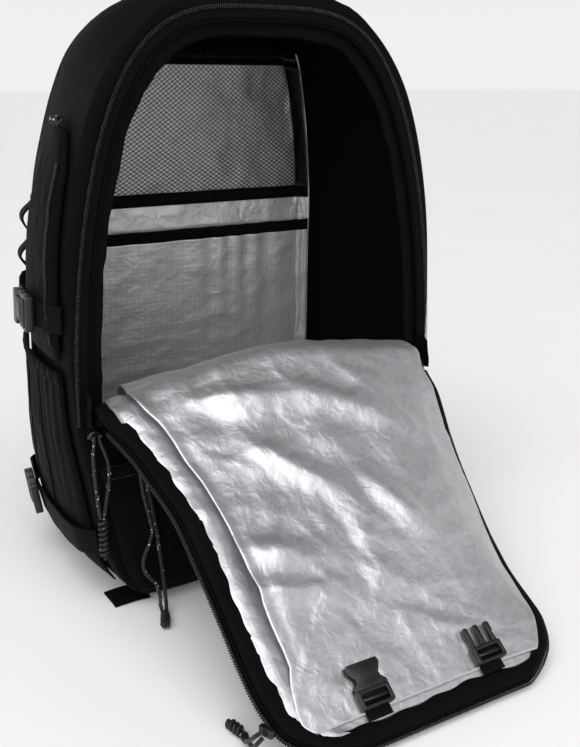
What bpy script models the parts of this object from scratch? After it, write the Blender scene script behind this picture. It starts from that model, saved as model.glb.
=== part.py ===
"""A clamshell travel backpack that stands on its base, with its front panel unzipped and
folded down on to the floor. Metres, +Z up. The origin is on the floor, under the middle
of the bag. The mouth faces -Y and the back panel faces +Y."""

import math

import bmesh
import bpy
from mathutils import Matrix, Vector

# Clearances
GAP = 0.0004
SNUG = 0.0003
FLOOR_GAP = 0.0010

# Body, outside sizes
HALF_WIDTH = 0.1758
HEIGHT = 0.492
FRONT_DEPTH = 0.130
BACK_DEPTH = 0.082
WALL = 0.003
FRONT_RADIUS = 0.006
BACK_RADIUS = 0.026

# Mouth of the main compartment, in the flat upper front
MOUTH_DEPTH = 0.109
MOUTH_HALF = 0.1735
MOUTH_TOP = 0.476
MOUTH_SPRING = 0.180
MOUTH_FOOT = 0.160
SILL = 0.166
LIP = 0.012

# Zip coil and facing round the mouth
ZIP_WIDTH = 0.006
ZIP_HIGH = 0.0025
FACING_INSET = 0.007
FACING_WIDTH = 0.017
FACING_THICK = 0.0016

# Inner back panel and its pockets
LINER_PAD = 0.008
LINER_BOTTOM = 0.022
LINER_TOP = 0.462
POCKET_CLOTH = 0.0012
HEM_THICK = 0.0022
HEM_HIGH = 0.011
NET_BOTTOM = 0.318
NET_TOP = 0.438
NET_BULGE = 0.004
INNER_ZIP_HIGH = 0.018
SLIP_BOTTOM = 0.030
SLIP_TOP = 0.272
SLIP_BULGE = 0.003

# Front panel, folded down as a flap
FLAP_LENGTH = 0.364
FLAP_THICK = 0.012
FOLD_RADIUS = 0.022
FOLD_RISE = 0.016
CREST_DROP = 0.023
CREST_POWER = 1.5
CREST_END = 0.50
RIGHT_DROP = 0.036
BAND_WIDTH = 0.012
BAND_THICK = 0.0012
BAND_LIFT = 0.0008
FLAP_ZIP_RADIUS = 0.0022
SLIDER_LONG = 0.011
SLIDER_WIDE = 0.007
SLIDER_THICK = 0.004
FLAP_SLIDER = 0.215
FLAP_SLIDER_ACROSS = -0.86
TIP_SLIDER = 0.91
TIP_SLIDER_OUT = (-0.95, -0.30, 0.0)
LINER_THICK = 0.0012
LINER_INSET = 0.015
LINER_SIDE = 0.026
LINER_DOWN = 0.070
LINER_CREST = 0.0075
LINER_LOOSE = 0.0035
LINER_SETTLED = 0.82
LINER_END = 0.020
FOLD_HEIGHT = 0.006
GUSSET_THICK = 0.002
GUSSET_REACH = 0.014
GUSSET_INSET = 0.0068
GUSSET_HIGH = 0.030

# Unfastened buckle halves on the liner
WEB = 0.020
WEB_THICK = 0.0014
TAB_LENGTH = 0.006
BUCKLE_WIDE = 0.026
BUCKLE_THICK = 0.008
FEMALE_LONG = 0.031
MALE_BASE = 0.013
PRONG_LONG = 0.015
TIP_INSET = 0.0125
FEMALE_X = -0.069
MALE_X = 0.030

# Side pockets, straps and webbing
SIDE_THICK = 0.0065
SIDE_PIPING = 0.001
POCKET_SEAT = 0.0009
SIDE_BOTTOM = 0.210
SIDE_TOP = 0.384
SIDE_ROUND = 0.030
LOWER_CLOTH = 0.0016
LOWER_BOTTOM = 0.022
LOWER_TOP = 0.200
LOWER_STAND_OFF = 0.009
STRAP_WIDE = 0.022
UPPER_STRAP = 0.243
LOWER_STRAP = 0.062
SIDE_BUCKLE_LONG = 0.046
SIDE_BUCKLE_WIDE = 0.030
SIDE_BUCKLE_THICK = 0.008
DAISY_BOTTOM = 0.262
DAISY_TOP = 0.366
DAISY_LOOP = 0.009

# Lower front
POCKET_BOTTOM = 0.014
POCKET_TOP = 0.126
POCKET_THICK = 0.005
ANCHOR_WIDE = 0.010
LOOP_X = -0.1612
LOOP_HEIGHT = 0.1505
LOOP_WIDE = 0.013
LOOP_ROD = 0.0022
BASE_TAB_CLEAR = 0.0065
BASE_TAB_LONG = 0.031
BASE_TAB_WIDE = 0.027
BASE_TAB_BACK = 0.094

# Carrying straps on the back
BACK_PAD = 0.008
PAD_BOTTOM = 0.060
PAD_TOP = 0.400
HARNESS_WIDE = 0.066
HARNESS_THICK = 0.010
HARNESS_TOP = 0.448
HARNESS_BOTTOM = 0.150
HARNESS_OUT = 0.030
HARNESS_APART = 0.056
HANDLE_REACH = 0.042
HANDLE_WIDE = 0.024
HANDLE_HIGH = 0.028
HANDLE_THICK = 0.003

# Cord pulls
CORD = 0.003
KNOT = 0.0085

# One row for each level of the body: height, then half widths at the front corner,
# at the widest place and at the back corner, then how far the front and the back reach.
# Heights are shares of HEIGHT, widths of HALF_WIDTH, reaches of FRONT_DEPTH and BACK_DEPTH.
BODY_ROWS = (
    (0.000, 0.670, 0.670, 0.565, 0.885, 0.760),
    (0.012, 0.755, 0.755, 0.640, 0.955, 0.865),
    (0.036, 0.830, 0.838, 0.725, 0.995, 0.950),
    (0.090, 0.905, 0.925, 0.835, 1.000, 0.995),
    (0.165, 0.945, 0.962, 0.880, 0.985, 1.000),
    (0.244, 0.970, 0.983, 0.898, 0.915, 0.995),
    (0.305, 0.985, 0.990, 0.900, 0.8385, 0.985),
    (0.370, 0.995, 0.995, 0.900, 0.8385, 0.970),
    (0.450, 1.000, 1.000, 0.895, 0.8385, 0.945),
    (0.530, 0.992, 0.992, 0.888, 0.8385, 0.905),
    (0.610, 0.974, 0.974, 0.878, 0.8385, 0.850),
    (0.690, 0.938, 0.932, 0.848, 0.8385, 0.780),
    (0.770, 0.882, 0.872, 0.805, 0.8385, 0.685),
    (0.840, 0.806, 0.804, 0.752, 0.8385, 0.590),
    (0.895, 0.708, 0.735, 0.695, 0.8385, 0.490),
    (0.938, 0.592, 0.655, 0.610, 0.8385, 0.380),
    (0.969, 0.468, 0.560, 0.505, 0.8385, 0.260),
    (0.988, 0.340, 0.460, 0.340, 0.780, 0.110),
    (1.000, 0.260, 0.300, 0.260, 0.640, -0.060),
)

# Steps round half a section: front, front corner, side, back corner, back
FRONT_STEPS = 2
CORNER_STEPS = 3
SIDE_STEPS = 6
BACK_CORNER_STEPS = 4
BACK_STEPS = 4
SIDE_START = FRONT_STEPS + CORNER_STEPS
SIDE_END = SIDE_START + SIDE_STEPS
BACK_START = SIDE_END + BACK_CORNER_STEPS
HALF_TURN = BACK_START + BACK_STEPS
TURN = 2 * HALF_TURN

# One row for each station of the flap: place along it, its left and right edges and how far
# its right edge hangs. Shares of FLAP_LENGTH, MOUTH_HALF and RIGHT_DROP.
FLAP_ROWS = (
    (0.000, -0.930, 0.900, 0.00),
    (0.150, -0.942, 0.850, 0.00),
    (0.205, -0.934, 0.806, 0.05),
    (0.255, -0.905, 0.804, 0.20),
    (0.310, -0.879, 0.787, 0.45),
    (0.370, -0.862, 0.758, 0.68),
    (0.450, -0.838, 0.723, 0.88),
    (0.530, -0.830, 0.697, 1.00),
    (0.640, -0.827, 0.660, 0.98),
    (0.720, -0.827, 0.640, 0.88),
    (0.815, -0.827, 0.617, 0.58),
    (0.885, -0.813, 0.585, 0.30),
    (0.940, -0.767, 0.520, 0.13),
    (0.975, -0.655, 0.435, 0.05),
    (1.000, -0.475, 0.330, 0.00),
)

# The liner's main folds: place along and across the flap, turn in degrees, length and
# width as shares of FLAP_LENGTH, and height as a share of FOLD_HEIGHT.
LINER_FOLDS = (
    (0.24, -0.40, 78, 0.20, 0.030, 0.75),
    (0.33, 0.30, 62, 0.26, 0.034, 0.85),
    (0.45, -0.25, 40, 0.20, 0.030, 0.80),
    (0.56, 0.25, 28, 0.24, 0.036, 1.00),
    (0.62, -0.55, 70, 0.16, 0.030, 0.90),
    (0.74, 0.05, 50, 0.18, 0.030, 0.80),
)

# Routes of the pull cords, chosen by hand, in metres
SIDE_PULL_A = (
    (-0.1632, -0.1169, 0.1520),
    (-0.1640, -0.1185, 0.1455),
    (-0.1672, -0.1240, 0.1385),
    (-0.1692, -0.1300, 0.1290),
    (-0.1692, -0.1322, 0.1150),
    (-0.1686, -0.1330, 0.1020),
    (-0.1678, -0.1336, 0.0905),
)
SIDE_PULL_B = (
    (-0.1592, -0.1169, 0.1520),
    (-0.1586, -0.1185, 0.1455),
    (-0.1574, -0.1243, 0.1385),
    (-0.1572, -0.1304, 0.1290),
    (-0.1592, -0.1324, 0.1150),
    (-0.1620, -0.1332, 0.1020),
    (-0.1643, -0.1336, 0.0905),
)
SIDE_KNOT_TOP = (-0.1661, -0.1336, 0.0902)
SIDE_KNOT_LONG = 0.036
TIP_PULL_A = (
    (-0.1488, -0.3562, 0.0296),
    (-0.1522, -0.3544, 0.0272),
    (-0.1520, -0.3482, 0.0205),
    (-0.1508, -0.3402, 0.0130),
    (-0.1488, -0.3322, 0.0072),
    (-0.1466, -0.3234, 0.0052),
)
TIP_PULL_B = (
    (-0.1488, -0.3562, 0.0252),
    (-0.1515, -0.3548, 0.0215),
    (-0.1508, -0.3492, 0.0150),
    (-0.1480, -0.3412, 0.0085),
    (-0.1455, -0.3322, 0.0045),
    (-0.1431, -0.3234, 0.0048),
)
TIP_KNOT_TOP = (-0.1449, -0.3228, 0.0052)
TIP_KNOT_END = (-0.1478, -0.3072, 0.0052)
FLAP_PULL_A = (
    (-0.1363, -0.1494, 0.1548),
    (-0.1358, -0.1486, 0.1400),
    (-0.1345, -0.1480, 0.1250),
    (-0.1318, -0.1464, 0.1080),
    (-0.1285, -0.1456, 0.0900),
    (-0.1258, -0.1452, 0.0720),
    (-0.1240, -0.1450, 0.0540),
    (-0.1224, -0.1454, 0.0360),
    (-0.1216, -0.1468, 0.0200),
    (-0.1222, -0.1500, 0.0080),
    (-0.1244, -0.1550, 0.0052),
)
FLAP_PULL_B = (
    (-0.1399, -0.1499, 0.1546),
    (-0.1398, -0.1500, 0.1400),
    (-0.1392, -0.1500, 0.1250),
    (-0.1368, -0.1486, 0.1080),
    (-0.1330, -0.1478, 0.0900),
    (-0.1306, -0.1480, 0.0760),
    (-0.1340, -0.1490, 0.0660),
    (-0.1392, -0.1496, 0.0560),
    (-0.1402, -0.1494, 0.0450),
    (-0.1362, -0.1492, 0.0370),
    (-0.1306, -0.1498, 0.0300),
    (-0.1278, -0.1510, 0.0190),
    (-0.1280, -0.1515, 0.0078),
    (-0.1279, -0.1550, 0.0052),
)
FLAP_KNOT_TOP = (-0.1262, -0.1568, 0.0052)
FLAP_KNOT_END = (-0.1350, -0.1760, 0.0052)
POCKET_KNOT_OUT = 0.012

COLOURS = {
    "nylon_cloth": ((0.006, 0.006, 0.007), 0.78, 0.0),
    "lining_cloth": ((0.008, 0.008, 0.009), 0.70, 0.0),
    "webbing": ((0.005, 0.005, 0.006), 0.85, 0.0),
    "silver_film": ((0.42, 0.43, 0.45), 0.33, 0.9),
    "silver_ripstop": ((0.36, 0.37, 0.39), 0.40, 0.9),
    "net": ((0.008, 0.008, 0.009), 0.80, 0.0),
    "coil_zip": ((0.010, 0.010, 0.011), 0.38, 0.0),
    "acetal": ((0.014, 0.014, 0.016), 0.45, 0.0),
    "cord": ((0.012, 0.012, 0.013), 0.75, 0.0),
}


def clear_scene():
    for obj in list(bpy.data.objects):
        bpy.data.objects.remove(obj, do_unlink=True)


def make_collections():
    parts = bpy.data.collections.new("backpack")
    cutters = bpy.data.collections.new("cutters")
    for collection in (parts, cutters):
        bpy.context.scene.collection.children.link(collection)
    return parts, cutters


def make_material(name):
    colour, roughness, metallic = COLOURS[name]
    material = bpy.data.materials.new(name)
    material.use_nodes = True
    shader = material.node_tree.nodes["Principled BSDF"]
    shader.inputs["Base Color"].default_value = (*colour, 1.0)
    shader.inputs["Roughness"].default_value = roughness
    shader.inputs["Metallic"].default_value = metallic
    return material


def add_object(name, mesh, material):
    obj = bpy.data.objects.new(name, mesh)
    obj.data.materials.append(MATERIALS[material])
    PARTS.objects.link(obj)
    return obj


def finish_mesh(name, bm, material, smooth=True):
    bmesh.ops.recalc_face_normals(bm, faces=bm.faces)
    mesh = bpy.data.meshes.new(name)
    bm.to_mesh(mesh)
    bm.free()
    if smooth:
        mesh.shade_smooth()
        mesh.set_sharp_from_angle(angle=math.radians(40))
    return add_object(name, mesh, material)


def blend(low, high, share):
    return low + (high - low) * share


def spread(low, high, steps):
    return [blend(low, high, k / steps) for k in range(steps + 1)]


def read_rows(rows, column, at):
    """A smooth curve through one column of a table whose first column rises."""
    count = len(rows)
    k = 0
    while k < count - 2 and rows[k + 1][0] < at:
        k += 1
    x0, x1 = rows[k][0], rows[k + 1][0]
    y0, y1 = rows[k][column], rows[k + 1][column]
    before = rows[max(k - 1, 0)]
    after = rows[min(k + 2, count - 1)]
    slope0 = (y1 - before[column]) / (x1 - before[0])
    slope1 = (after[column] - y0) / (after[0] - x0)
    t = min(max((at - x0) / (x1 - x0), 0.0), 1.0)
    width = x1 - x0
    return (
        (2 * t**3 - 3 * t**2 + 1) * y0
        + (t**3 - 2 * t**2 + t) * width * slope0
        + (3 * t**2 - 2 * t**3) * y1
        + (t**3 - t**2) * width * slope1
    )


def loft(name, rings, material, smooth=True):
    """A closed body through rings of equal length, with a flat cap at each end."""
    bm = bmesh.new()
    loops = [[bm.verts.new(point) for point in ring] for ring in rings]
    count = len(rings[0])
    for low, high in zip(loops, loops[1:]):
        for k in range(count):
            after = (k + 1) % count
            bm.faces.new((low[k], low[after], high[after], high[k]))
    bm.faces.new(list(reversed(loops[0])))
    bm.faces.new(loops[-1])
    return finish_mesh(name, bm, material, smooth)


def two_sided(name, near, far, material, smooth=True):
    """A closed piece between two grids of points of the same size."""
    bm = bmesh.new()
    grids = [[[bm.verts.new(p) for p in row] for row in grid] for grid in (near, far)]
    rows = len(near)
    columns = len(near[0])
    for grid in grids:
        for j in range(rows - 1):
            for i in range(columns - 1):
                corners = (grid[j][i], grid[j][i + 1], grid[j + 1][i + 1], grid[j + 1][i])
                bm.faces.new(corners)
    border = [(0, i) for i in range(columns)]
    border += [(j, columns - 1) for j in range(1, rows)]
    border += [(rows - 1, i) for i in range(columns - 2, -1, -1)]
    border += [(j, 0) for j in range(rows - 2, 0, -1)]
    for (j0, i0), (j1, i1) in zip(border, border[1:] + border[:1]):
        first, second = grids
        bm.faces.new((first[j0][i0], first[j1][i1], second[j1][i1], second[j0][i0]))
    return finish_mesh(name, bm, material, smooth)


def prism(name, outline, thickness, material, place=None, bevel=0.0):
    """A flat outline in XY, thickened along +Z, then placed by a matrix."""
    bm = bmesh.new()
    face = bm.faces.new([bm.verts.new((x, y, 0.0)) for x, y in outline])
    moved = bmesh.ops.extrude_face_region(bm, geom=[face])
    verts = [item for item in moved["geom"] if isinstance(item, bmesh.types.BMVert)]
    bmesh.ops.translate(bm, verts=verts, vec=(0.0, 0.0, thickness))
    if place is not None:
        bmesh.ops.transform(bm, matrix=place, verts=bm.verts)
    obj = finish_mesh(name, bm, material, smooth=False)
    if bevel:
        edge = obj.modifiers.new("edge", "BEVEL")
        edge.width = bevel
        edge.segments = 1
        edge.limit_method = "ANGLE"
        edge.angle_limit = math.radians(50)
    return obj


def smooth_route(points, step):
    """Evenly spaced points on a smooth curve through a few chosen ones."""
    route = [Vector(p) for p in points]
    fine = []
    for k in range(len(route) - 1):
        before = route[max(k - 1, 0)]
        after = route[min(k + 2, len(route) - 1)]
        start, end = route[k], route[k + 1]
        for share in (j / 12 for j in range(12)):
            a = (end - before) * 0.5
            b = (after - start) * 0.5
            t = share
            fine.append(
                (2 * t**3 - 3 * t**2 + 1) * start
                + (t**3 - 2 * t**2 + t) * a
                + (3 * t**2 - 2 * t**3) * end
                + (t**3 - t**2) * b
            )
    fine.append(route[-1])
    length = sum((q - p).length for p, q in zip(fine, fine[1:]))
    count = max(2, round(length / step))
    wanted = [length * k / count for k in range(count + 1)]
    found = [fine[0]]
    run = 0.0
    k = 0
    for distance in wanted[1:-1]:
        while run + (fine[k + 1] - fine[k]).length < distance:
            run += (fine[k + 1] - fine[k]).length
            k += 1
        share = (distance - run) / (fine[k + 1] - fine[k]).length
        found.append(fine[k].lerp(fine[k + 1], share))
    return found + [fine[-1]]


def cord(name, points):
    curve = bpy.data.curves.new(name, "CURVE")
    curve.dimensions = "3D"
    curve.bevel_depth = CORD / 2
    curve.bevel_resolution = 2
    curve.use_fill_caps = True
    route = smooth_route(points, 3 * CORD)
    spline = curve.splines.new("POLY")
    spline.points.add(len(route) - 1)
    for point, place in zip(spline.points, route):
        point.co = (*place, 1.0)
    return add_object(name, curve, "cord")


def mirrored(point, side):
    return Vector((side * point[0], point[1], point[2]))


def section(row):
    """The body's outline at one level, from the middle of the front round by the right."""
    front = row[1] * HALF_WIDTH
    middle = row[2] * HALF_WIDTH
    back = row[3] * HALF_WIDTH
    front_y = -row[4] * FRONT_DEPTH
    back_y = row[5] * BACK_DEPTH
    depth = back_y - front_y
    front_radius = min(FRONT_RADIUS, 0.3 * front)
    back_radius = min(BACK_RADIUS, 0.45 * back, 0.3 * depth)
    half = [Vector((x, front_y)) for x in spread(0.0, front - front_radius, FRONT_STEPS)]
    for k in range(1, CORNER_STEPS + 1):
        angle = math.pi / 2 * k / CORNER_STEPS
        half.append(
            Vector(
                (
                    front - front_radius * (1 - math.sin(angle)),
                    front_y + front_radius * (1 - math.cos(angle)),
                )
            )
        )
    widest = 0.4
    for k in range(1, SIDE_STEPS + 1):
        t = k / SIDE_STEPS
        x = front * (t - widest) * (t - 1) / widest
        x += middle * t * (t - 1) / (widest * (widest - 1))
        x += back * t * (t - widest) / (1 - widest)
        y = blend(front_y + front_radius, back_y - back_radius, t)
        half.append(Vector((x, y)))
    for k in range(1, BACK_CORNER_STEPS + 1):
        angle = math.pi / 2 * k / BACK_CORNER_STEPS
        half.append(
            Vector(
                (
                    back - back_radius * (1 - math.cos(angle)),
                    back_y - back_radius * (1 - math.sin(angle)),
                )
            )
        )
    inner = back - back_radius
    half += [Vector((inner * (1 - k / BACK_STEPS), back_y)) for k in range(1, BACK_STEPS + 1)]
    other = [Vector((-p.x, p.y)) for p in reversed(half[1:-1])]
    return half + other


def body_grid():
    """Points and outward normals of the body's skin, level by level."""
    levels = []
    for row in BODY_ROWS:
        levels.append([Vector((p.x, p.y, row[0] * HEIGHT)) for p in section(row)])
    bm = bmesh.new()
    loops = [[bm.verts.new(point) for point in level] for level in levels]
    for low, high in zip(loops, loops[1:]):
        for k in range(TURN):
            after = (k + 1) % TURN
            bm.faces.new((low[k], low[after], high[after], high[k]))
    bm.faces.new(list(reversed(loops[0])))
    bm.faces.new(loops[-1])
    bm.normal_update()
    normals = [[vert.normal.copy() for vert in loop] for loop in loops]
    bm.free()
    return levels, normals


def body_at(index, height, out=0.0):
    """A point on the faceted skin, or at a distance from it. Index 0 is the front's middle."""
    heights = [row[0] * HEIGHT for row in BODY_ROWS]
    low = 0
    while low < len(heights) - 2 and heights[low + 1] < height:
        low += 1
    up = (height - heights[low]) / (heights[low + 1] - heights[low])
    whole = math.floor(index)
    across = index - whole

    def corner(level, step):
        k = (whole + step) % TURN
        return SKIN[level][k] + SKIN_NORMALS[level][k] * out

    lower = corner(low, 0).lerp(corner(low, 1), across)
    upper = corner(low + 1, 0).lerp(corner(low + 1, 1), across)
    return lower.lerp(upper, up)


def whole_steps(low, high):
    inside = [float(k) for k in range(math.ceil(low), math.floor(high) + 1)]
    return sorted({low, high, *inside})


def body_heights(bottom, top, finest=None):
    heights = [row[0] * HEIGHT for row in BODY_ROWS if bottom < row[0] * HEIGHT < top]
    heights = sorted({bottom, top, *heights})
    if finest is None:
        return heights
    finer = []
    for low, high in zip(heights, heights[1:]):
        finer += spread(low, high, max(1, math.ceil((high - low) / finest)))[:-1]
    return finer + [top]


def wrap(name, material, span, bottom, top, near, far, side=1, finest=None, cap=None):
    """A closed piece along the skin. Near and far give its distances from the skin at a
    share across and up, and cap lowers its top at a share across."""
    first, last = span
    columns = whole_steps(first, last)
    heights = body_heights(bottom, top, finest)
    grids = ([], [])
    for height in heights:
        up = (height - bottom) / (top - bottom)
        for grid, distance in zip(grids, (near, far)):
            line = []
            for index in columns:
                across = (index - first) / (last - first)
                lowered = cap(across) * max(0.0, 3 * up - 2) ** 2 if cap else 0.0
                point = body_at(index, height - lowered, distance(across, up))
                line.append(mirrored(point, side))
            grid.append(line)
    return two_sided(name, grids[0], grids[1], material)


def level(value):
    return lambda across, up: value


def crown(share, power):
    """1 in the middle of a span and 0 at its ends."""
    return (1 - abs(2 * share - 1) ** power) ** (1 / power)


def skin_frame(index, height, out, side):
    """A placing matrix on the skin: X runs towards the back, Y up, Z outwards."""
    here = mirrored(body_at(index, height, out), side)
    back = mirrored(body_at(index + 0.5, height, out), side)
    above = mirrored(body_at(index, height + 0.01, out), side)
    x_axis = (back - here).normalized()
    y_axis = (above - here).normalized()
    z_axis = x_axis.cross(y_axis).normalized() * side
    y_axis = z_axis.cross(x_axis).normalized()
    matrix = Matrix.Identity(4)
    for column, axis in enumerate((x_axis, y_axis, z_axis)):
        matrix.col[column][:3] = axis
    matrix.col[3][:3] = here
    return matrix


def arch(inset):
    """Points of the mouth's outline in XZ, from its left foot over the top to its right."""
    half = MOUTH_HALF - inset
    rise = MOUTH_TOP - MOUTH_SPRING - inset
    steps = 14
    right = []
    for k in range(steps + 1):
        angle = math.pi / 2 * (1 - (1 - k / steps) ** 1.5)
        x = half * math.cos(angle) ** (2 / 3.72) if k < steps else 0.0
        right.append((x, MOUTH_SPRING + rise * math.sin(angle) ** (2 / 1.74)))
    left = [(-x, z) for x, z in right]
    return [(-half, MOUTH_FOOT)] + left + right[-2::-1] + [(half, MOUTH_FOOT)]


def make_body():
    body = loft("body_shell", SKIN, "nylon_cloth")
    wall = body.modifiers.new("wall", "SOLIDIFY")
    wall.thickness = WALL
    wall.offset = -1.0
    outline = [(x, max(z, SILL)) for x, z in arch(LIP)]
    bm = bmesh.new()
    front = -FRONT_DEPTH
    face = bm.faces.new([bm.verts.new((x, front, z)) for x, z in outline])
    moved = bmesh.ops.extrude_face_region(bm, geom=[face])
    verts = [item for item in moved["geom"] if isinstance(item, bmesh.types.BMVert)]
    through = FRONT_DEPTH - MOUTH_DEPTH + 4 * WALL
    bmesh.ops.translate(bm, verts=verts, vec=(0.0, through, 0.0))
    bmesh.ops.recalc_face_normals(bm, faces=bm.faces)
    mesh = bpy.data.meshes.new("mouth_cutter")
    bm.to_mesh(mesh)
    bm.free()
    cutter = bpy.data.objects.new("mouth_cutter", mesh)
    cutter.hide_render = True
    cutter.display_type = "WIRE"
    CUTTERS.objects.link(cutter)
    cut = body.modifiers.new("mouth", "BOOLEAN")
    cut.operation = "DIFFERENCE"
    cut.solver = "EXACT"
    cut.object = cutter


def arch_band(name, material, outer_inset, inner_inset, near_y, far_y):
    rings = []
    for (x0, z0), (x1, z1) in zip(arch(outer_inset), arch(inner_inset)):
        rings.append(
            [
                Vector((x0, near_y, z0)),
                Vector((x1, near_y, z1)),
                Vector((x1, far_y, z1)),
                Vector((x0, far_y, z0)),
            ]
        )
    return loft(name, rings, material)


def make_mouth():
    outside = -MOUTH_DEPTH - SNUG
    arch_band("mouth_zip", "coil_zip", 0.0, ZIP_WIDTH, outside - ZIP_HIGH, outside)
    inside = -MOUTH_DEPTH + WALL + SNUG
    last = FACING_INSET + FACING_WIDTH
    arch_band("mouth_facing", "lining_cloth", FACING_INSET, last, inside, inside + FACING_THICK)


def make_inner_back():
    panel = -(WALL + SNUG)
    face = panel - LINER_PAD
    edge = 0.6
    span = (BACK_START - 3.4, TURN - BACK_START + 3.4)
    wrap("back_liner", "silver_film", span, LINER_BOTTOM, LINER_TOP, level(panel), level(face))
    inner = (span[0] + edge, span[1] - edge)

    def net(across, up):
        return face - GAP - NET_BULGE * crown(across, 2) * crown(up, 2)

    def net_face(across, up):
        return net(across, up) - POCKET_CLOTH

    wrap("mesh_pocket", "net", inner, NET_BOTTOM, NET_TOP, net, net_face, finest=0.03)
    hem = level(face - GAP - HEM_THICK)
    seat = level(face - GAP)
    hem_top = NET_BOTTOM - SNUG
    wrap("mesh_pocket_hem", "lining_cloth", inner, hem_top - HEM_HIGH, hem_top, seat, hem)
    zip_bottom = NET_TOP + SNUG
    zip_top = zip_bottom + INNER_ZIP_HIGH
    wrap("mesh_pocket_zip", "coil_zip", inner, zip_bottom, zip_top, seat, hem)

    def slip(across, up):
        return face - GAP - SLIP_BULGE * crown(across, 2) * up

    def slip_face(across, up):
        return slip(across, up) - POCKET_CLOTH

    wrap("slip_pocket", "silver_ripstop", inner, SLIP_BOTTOM, SLIP_TOP, slip, slip_face)
    band = SLIP_TOP + SNUG

    def band_seat(across, up):
        return slip(across, 1.0)

    def band_face(across, up):
        return slip(across, 1.0) - HEM_THICK

    wrap("slip_pocket_hem", "lining_cloth", inner, band, band + HEM_HIGH, band_seat, band_face)


def flap_slope():
    """The flap's fall, so that the underside of its tip rests on the floor."""
    low, high = 0.2, 1.2
    for _ in range(40):
        angle = (low + high) / 2
        straight = FLAP_LENGTH - FOLD_RISE - FOLD_RADIUS * (math.pi / 2 + angle)
        tip = MOUTH_FOOT + FOLD_RISE + FOLD_RADIUS * math.cos(angle) - straight * math.sin(angle)
        if tip - FLAP_THICK * math.cos(angle) > FLOOR_GAP:
            low = angle
        else:
            high = angle
    return (low + high) / 2


def flap_path(run):
    """Y and Z of the flap's lined face at a distance along it: up, over the fold and down."""
    start_y = -(MOUTH_DEPTH + SNUG)
    bend = MOUTH_FOOT + FOLD_RISE
    if run <= FOLD_RISE:
        return start_y, MOUTH_FOOT + run
    angle = (run - FOLD_RISE) / FOLD_RADIUS
    end = math.pi / 2 + SLOPE
    centre_y = start_y - FOLD_RADIUS
    if angle <= end:
        return centre_y + FOLD_RADIUS * math.cos(angle), bend + FOLD_RADIUS * math.sin(angle)
    further = run - FOLD_RISE - FOLD_RADIUS * end
    y = centre_y + FOLD_RADIUS * math.cos(end) - further * math.cos(SLOPE)
    return y, bend + FOLD_RADIUS * math.sin(end) - further * math.sin(SLOPE)


def flap_edges(along):
    at = min(max(along, 0.0), 1.0)
    return (
        read_rows(FLAP_ROWS, 1, at) * MOUTH_HALF,
        read_rows(FLAP_ROWS, 2, at) * MOUTH_HALF,
    )


def flap_surface(along, across):
    left, right = flap_edges(along)
    y, z = flap_path(along * FLAP_LENGTH)
    flat = 0.35
    hang = max(0.0, (across - flat) / (1 - flat)) ** 2
    drop = max(0.0, read_rows(FLAP_ROWS, 3, min(max(along, 0.0), 1.0))) * RIGHT_DROP
    x = blend(left, right, (across + 1) / 2)
    crest = (FOLD_RISE + FOLD_RADIUS * math.pi / 2) / FLAP_LENGTH
    rise = min(max(along / crest, 0.0), 1.0)
    settle = min(max((along - crest) / (CREST_END - crest), 0.0), 1.0)
    arched = CREST_DROP * (rise - settle) * abs(across) ** CREST_POWER
    return Vector((x, y, z - drop * hang - arched))


def flap_at(along, across, out=0.0):
    """A point of the lined face, or at a distance above it."""
    step = 0.01
    here = flap_surface(along, across)
    forward = flap_surface(along + step, across) - flap_surface(along - step, across)
    sideways = flap_surface(along, across + step) - flap_surface(along, across - step)
    normal = sideways.cross(forward).normalized() * -1.0
    return here + normal * out


def flap_stations():
    return [row[0] for row in FLAP_ROWS]


def flap_outline():
    """Along and across shares of the flap's edge, from its left side round its tip."""
    start = 0.205
    left = [(a, -1.0) for a in flap_stations() if a >= start]
    tip = [(1.0, b) for b in spread(-1.0, 1.0, 4)[1:-1]]
    right = [(a, 1.0) for a in reversed(flap_stations()) if a >= start]
    return left + tip + right


def flap_inward(along, across, inset):
    left, right = flap_edges(along)
    half = (right - left) / 2
    near = max(half, 0.5 * MOUTH_HALF)
    share = along * (1 - inset / FLAP_LENGTH) if along > 0.8 else along
    return share, across * (1 - inset / near)


def make_flap():
    columns = spread(-1.0, 1.0, 10)
    stations = sorted([0.0, 0.045, 0.075, 0.105] + flap_stations()[1:])
    top = [[flap_at(a, b) for b in columns] for a in stations]
    under = [[flap_at(a, b, -FLAP_THICK) for b in columns] for a in stations]
    two_sided("flap_panel", top, under, "nylon_cloth")
    band = []
    for along, across in flap_outline():
        outer = flap_inward(along, across, 0.001)
        inner = flap_inward(along, across, BAND_WIDTH)
        band.append(
            [
                flap_at(*outer, BAND_LIFT),
                flap_at(*inner, BAND_LIFT),
                flap_at(*inner, BAND_LIFT + BAND_THICK),
                flap_at(*outer, BAND_LIFT + BAND_THICK),
            ]
        )
    loft("flap_facing", band, "lining_cloth")
    make_flap_zip()
    make_sliders()
    make_flap_liner()


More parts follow.
